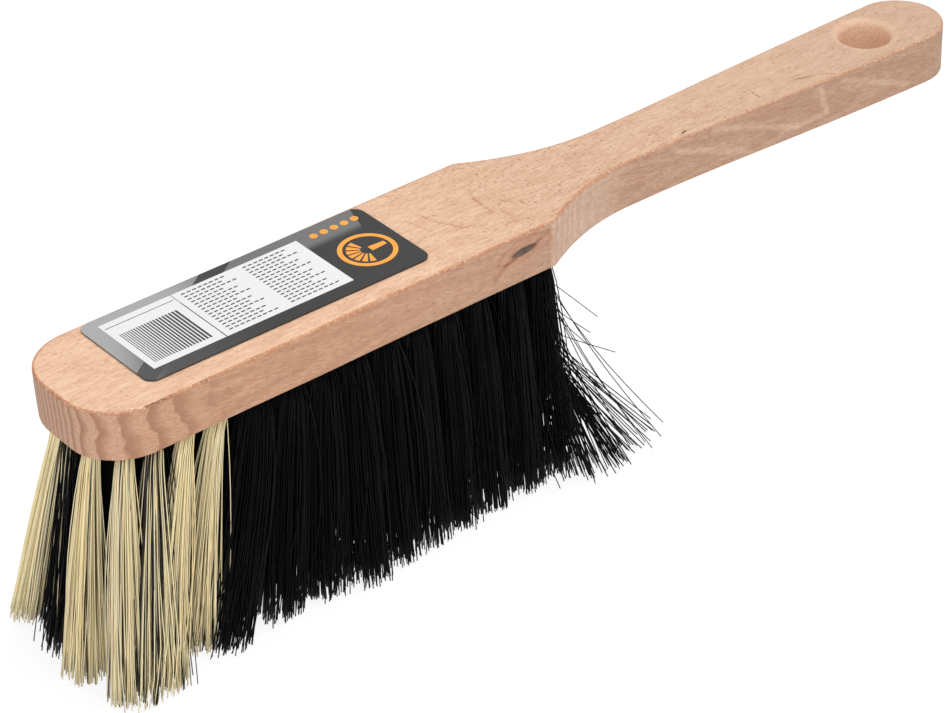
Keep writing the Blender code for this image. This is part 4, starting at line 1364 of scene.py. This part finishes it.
def stray_filaments():
    """Roots and values of the single filaments."""
    strays = []
    for (root_x, root_y), (tip_x, tip_y, tip_z), dark, *start in STRAYS:
        run = from_mm(tip_x - root_x, tip_y - root_y)
        values = {"lean": run, "dark_share": dark, "raise": tip_z * MM}
        if start:
            values.update({"lean": run * STRAY_LEAN, "fan": run * (1.0 - STRAY_LEAN)})
            values.update({"fan_share": 1.0, "fan_power": 0.0, "fan_from": start[0]})
        strays.append((from_mm(root_x, root_y, UNDERSIDE_Z), values))
    return strays


class HANDBRUSH_OT_filaments(bpy.types.Operator):
    """Grows the filaments of every tuft"""

    bl_idname = "hand_brush.filaments"
    bl_label = "Filaments"

    def execute(self, context):
        settings = context.scene.hand_brush_filaments
        tree = filament_tree()
        straw = filament_material("straw_filament", settings, 1.0)
        black = filament_material("dark_filament", settings, 0.0)
        straw_changes = {
            "Diameter": settings.cream_diameter,
            "Root Radius": settings.cream_root,
            "Opening": CREAM_OPENING,
            "Drift": CREAM_DRIFT,
            "Bow": CREAM_BOW,
        }
        for seed, (name, nodes, slot) in enumerate(tuft_rows(), 1):
            tufts = [tuft_stance(node) for node in nodes]
            if slot == "cream_filament":
                piece = grow(name, tufts, tree, settings, straw, seed, settings.cream_count, straw_changes)
            else:
                piece = grow(name, tufts, tree, settings, black, seed, settings.count)
            mount_piece(piece, nodes)
        changes = {"Root Radius": 1.4, "Diameter": 0.34, "Bow": 0.5, "Drift": 0.6, "Ragged Tips": 5.0}
        changes = {label: value * MM for label, value in changes.items()}
        given = (tree, settings, black, BUNDLE_SEED, BUNDLE_FILAMENTS, changes)
        piece = grow("heel_bundle_filaments", heel_bundles(), *given)
        mount_piece(piece)
        changes = dict.fromkeys(("Root Radius", "Tip Radius", "Ragged Tips", "Drift"), 0.0)
        changes.update({"Bow": 0.8 * MM, "Diameter": 0.28 * MM})
        piece = grow("stray_filaments", stray_filaments(), tree, settings, black, STRAY_SEED, 1, changes)
        mount_piece(piece)
        return {"FINISHED"}


# the stage
CAMERA_PLACE = (-0.49911, -0.62911, 0.56162)
CAMERA_TURN = (56.1743, 1.4651, -38.7587)
SENSOR_WIDTH = 36.0
FLOOR_Z = -0.0002
WHITE = (1.0, 1.0, 1.0, 1.0)
ROOM_WHITE = (0.97, 0.985, 1.0, 1.0)
LAMPS_AIM = Vector((0.0, 0.0, 0.05))


def to_view(n, shader, seen):
    """The shader as it lights the brush, and another for what the camera and reflections see."""
    path = n.add("ShaderNodeLightPath").outputs
    reflected = n.number("MAXIMUM", path["Is Glossy Ray"], path["Is Transmission Ray"])
    eye = n.number("MAXIMUM", path["Is Camera Ray"], reflected)
    return n.get("ShaderNodeMixShader", {0: eye, 1: shader, 2: seen})


def empty_nodes(owner):
    """The node helper of a material or a world, with its tree emptied."""
    owner.use_nodes = True
    owner.node_tree.nodes.clear()
    return Nodes(owner.node_tree)


def floor_material(tone):
    """A matt floor that is seen a little brighter than it lights the brush."""
    material = bpy.data.materials.new("studio_floor")
    n = empty_nodes(material)
    paint = n.get("ShaderNodeBsdfDiffuse", {"Color": tone})
    white = n.get("ShaderNodeBsdfDiffuse", {"Color": (0.9, 0.9, 0.9)})
    glow = n.get("ShaderNodeEmission", {"Color": WHITE, "Strength": 1.05})
    seen = n.get("ShaderNodeMixShader", {0: 0.82, 1: white, 2: glow})
    n.add("ShaderNodeOutputMaterial", {"Surface": to_view(n, paint, seen)})
    return material


def studio_room(strength):
    """Even light from all round, and plain white where the camera looks past the floor."""
    world = bpy.data.worlds.new("studio_room")
    n = empty_nodes(world)
    light = n.get("ShaderNodeBackground", {"Color": ROOM_WHITE, "Strength": strength})
    white = n.get("ShaderNodeBackground", {"Color": WHITE, "Strength": 1.0})
    path = n.add("ShaderNodeLightPath").outputs
    shown = n.get("ShaderNodeMixShader", {0: path["Is Camera Ray"], 1: light, 2: white})
    n.add("ShaderNodeOutputWorld", {"Surface": shown})
    return world


class HANDBRUSH_OT_stage(bpy.types.Operator):
    """Sets up the pale floor, the soft light and the camera"""

    bl_idname = "hand_brush.stage"
    bl_label = "Stage"

    def execute(self, context):
        settings = context.scene.hand_brush_stage
        half = settings.floor_size / 2.0
        corners = [(x, y, FLOOR_Z) for x, y in block(-half, -half, half, half)]
        mesh = bpy.data.meshes.new("studio_floor")
        mesh.from_pydata(corners, [], [(0, 1, 2, 3)])
        mesh.materials.append(floor_material(settings.floor))
        new_object("studio_floor", mesh)
        context.scene.world = studio_room(settings.sky)

        for name, place, size, power in (
            ("overhead_softbox", (0.55, 0.10, 1.5), (1.6, 1.2), settings.lamp),
            ("front_softbox", (-1.0, -1.15, 0.42), (1.1, 0.8), settings.fill),
        ):
            lamp = bpy.data.lights.new(name, "AREA")
            lamp.shape = "RECTANGLE"
            lamp.size, lamp.size_y = size
            lamp.energy = power
            lamp_object = new_object(name, lamp)
            lamp_object.location = place
            lamp_object.rotation_euler = (LAMPS_AIM - Vector(place)).to_track_quat("-Z", "Y").to_euler()

        camera = bpy.data.cameras.new("camera")
        camera.sensor_width = SENSOR_WIDTH
        camera.lens = settings.lens
        camera_object = new_object("camera", camera)
        camera_object.location = CAMERA_PLACE
        camera_object.rotation_euler = [math.radians(turn) for turn in CAMERA_TURN]
        context.scene.camera = camera_object
        context.scene.view_settings.view_transform = "Standard"
        return {"FINISHED"}


class HANDBRUSH_PT_panel(bpy.types.Panel):
    """Lists the brush's pieces and their settings"""

    bl_idname = "HANDBRUSH_PT_panel"
    bl_label = "Hand Brush"
    bl_space_type = "VIEW_3D"
    bl_region_type = "UI"
    bl_category = "Hand Brush"

    def draw(self, context):
        for operator, name, _ in PIECES:
            box = self.layout.box()
            box.operator(operator.bl_idname)
            settings = getattr(context.scene, name)
            for key in settings.bl_rna.properties.keys():
                if key not in ("name", "rna_type"):
                    box.prop(settings, key)


PIECES = (
    (HANDBRUSH_OT_plank, "hand_brush_plank", PlankSettings),
    (HANDBRUSH_OT_label, "hand_brush_label", LabelSettings),
    (HANDBRUSH_OT_filaments, "hand_brush_filaments", FilamentSettings),
    (HANDBRUSH_OT_stage, "hand_brush_stage", StageSettings),
)


def register():
    """Adds the settings, the operators and the panel."""
    for operator, name, group in PIECES:
        bpy.utils.register_class(group)
        setattr(bpy.types.Scene, name, PointerProperty(type=group))
        bpy.utils.register_class(operator)
    bpy.utils.register_class(HANDBRUSH_PT_panel)


def unregister():
    """Takes away what register added."""
    bpy.utils.unregister_class(HANDBRUSH_PT_panel)
    for operator, name, group in reversed(PIECES):
        bpy.utils.unregister_class(operator)
        delattr(bpy.types.Scene, name)
        bpy.utils.unregister_class(group)


def main():
    register()
    bpy.ops.hand_brush.plank()
    bpy.ops.hand_brush.label()
    bpy.ops.hand_brush.filaments()
    bpy.ops.hand_brush.stage()


if __name__ == "__main__":
    main()
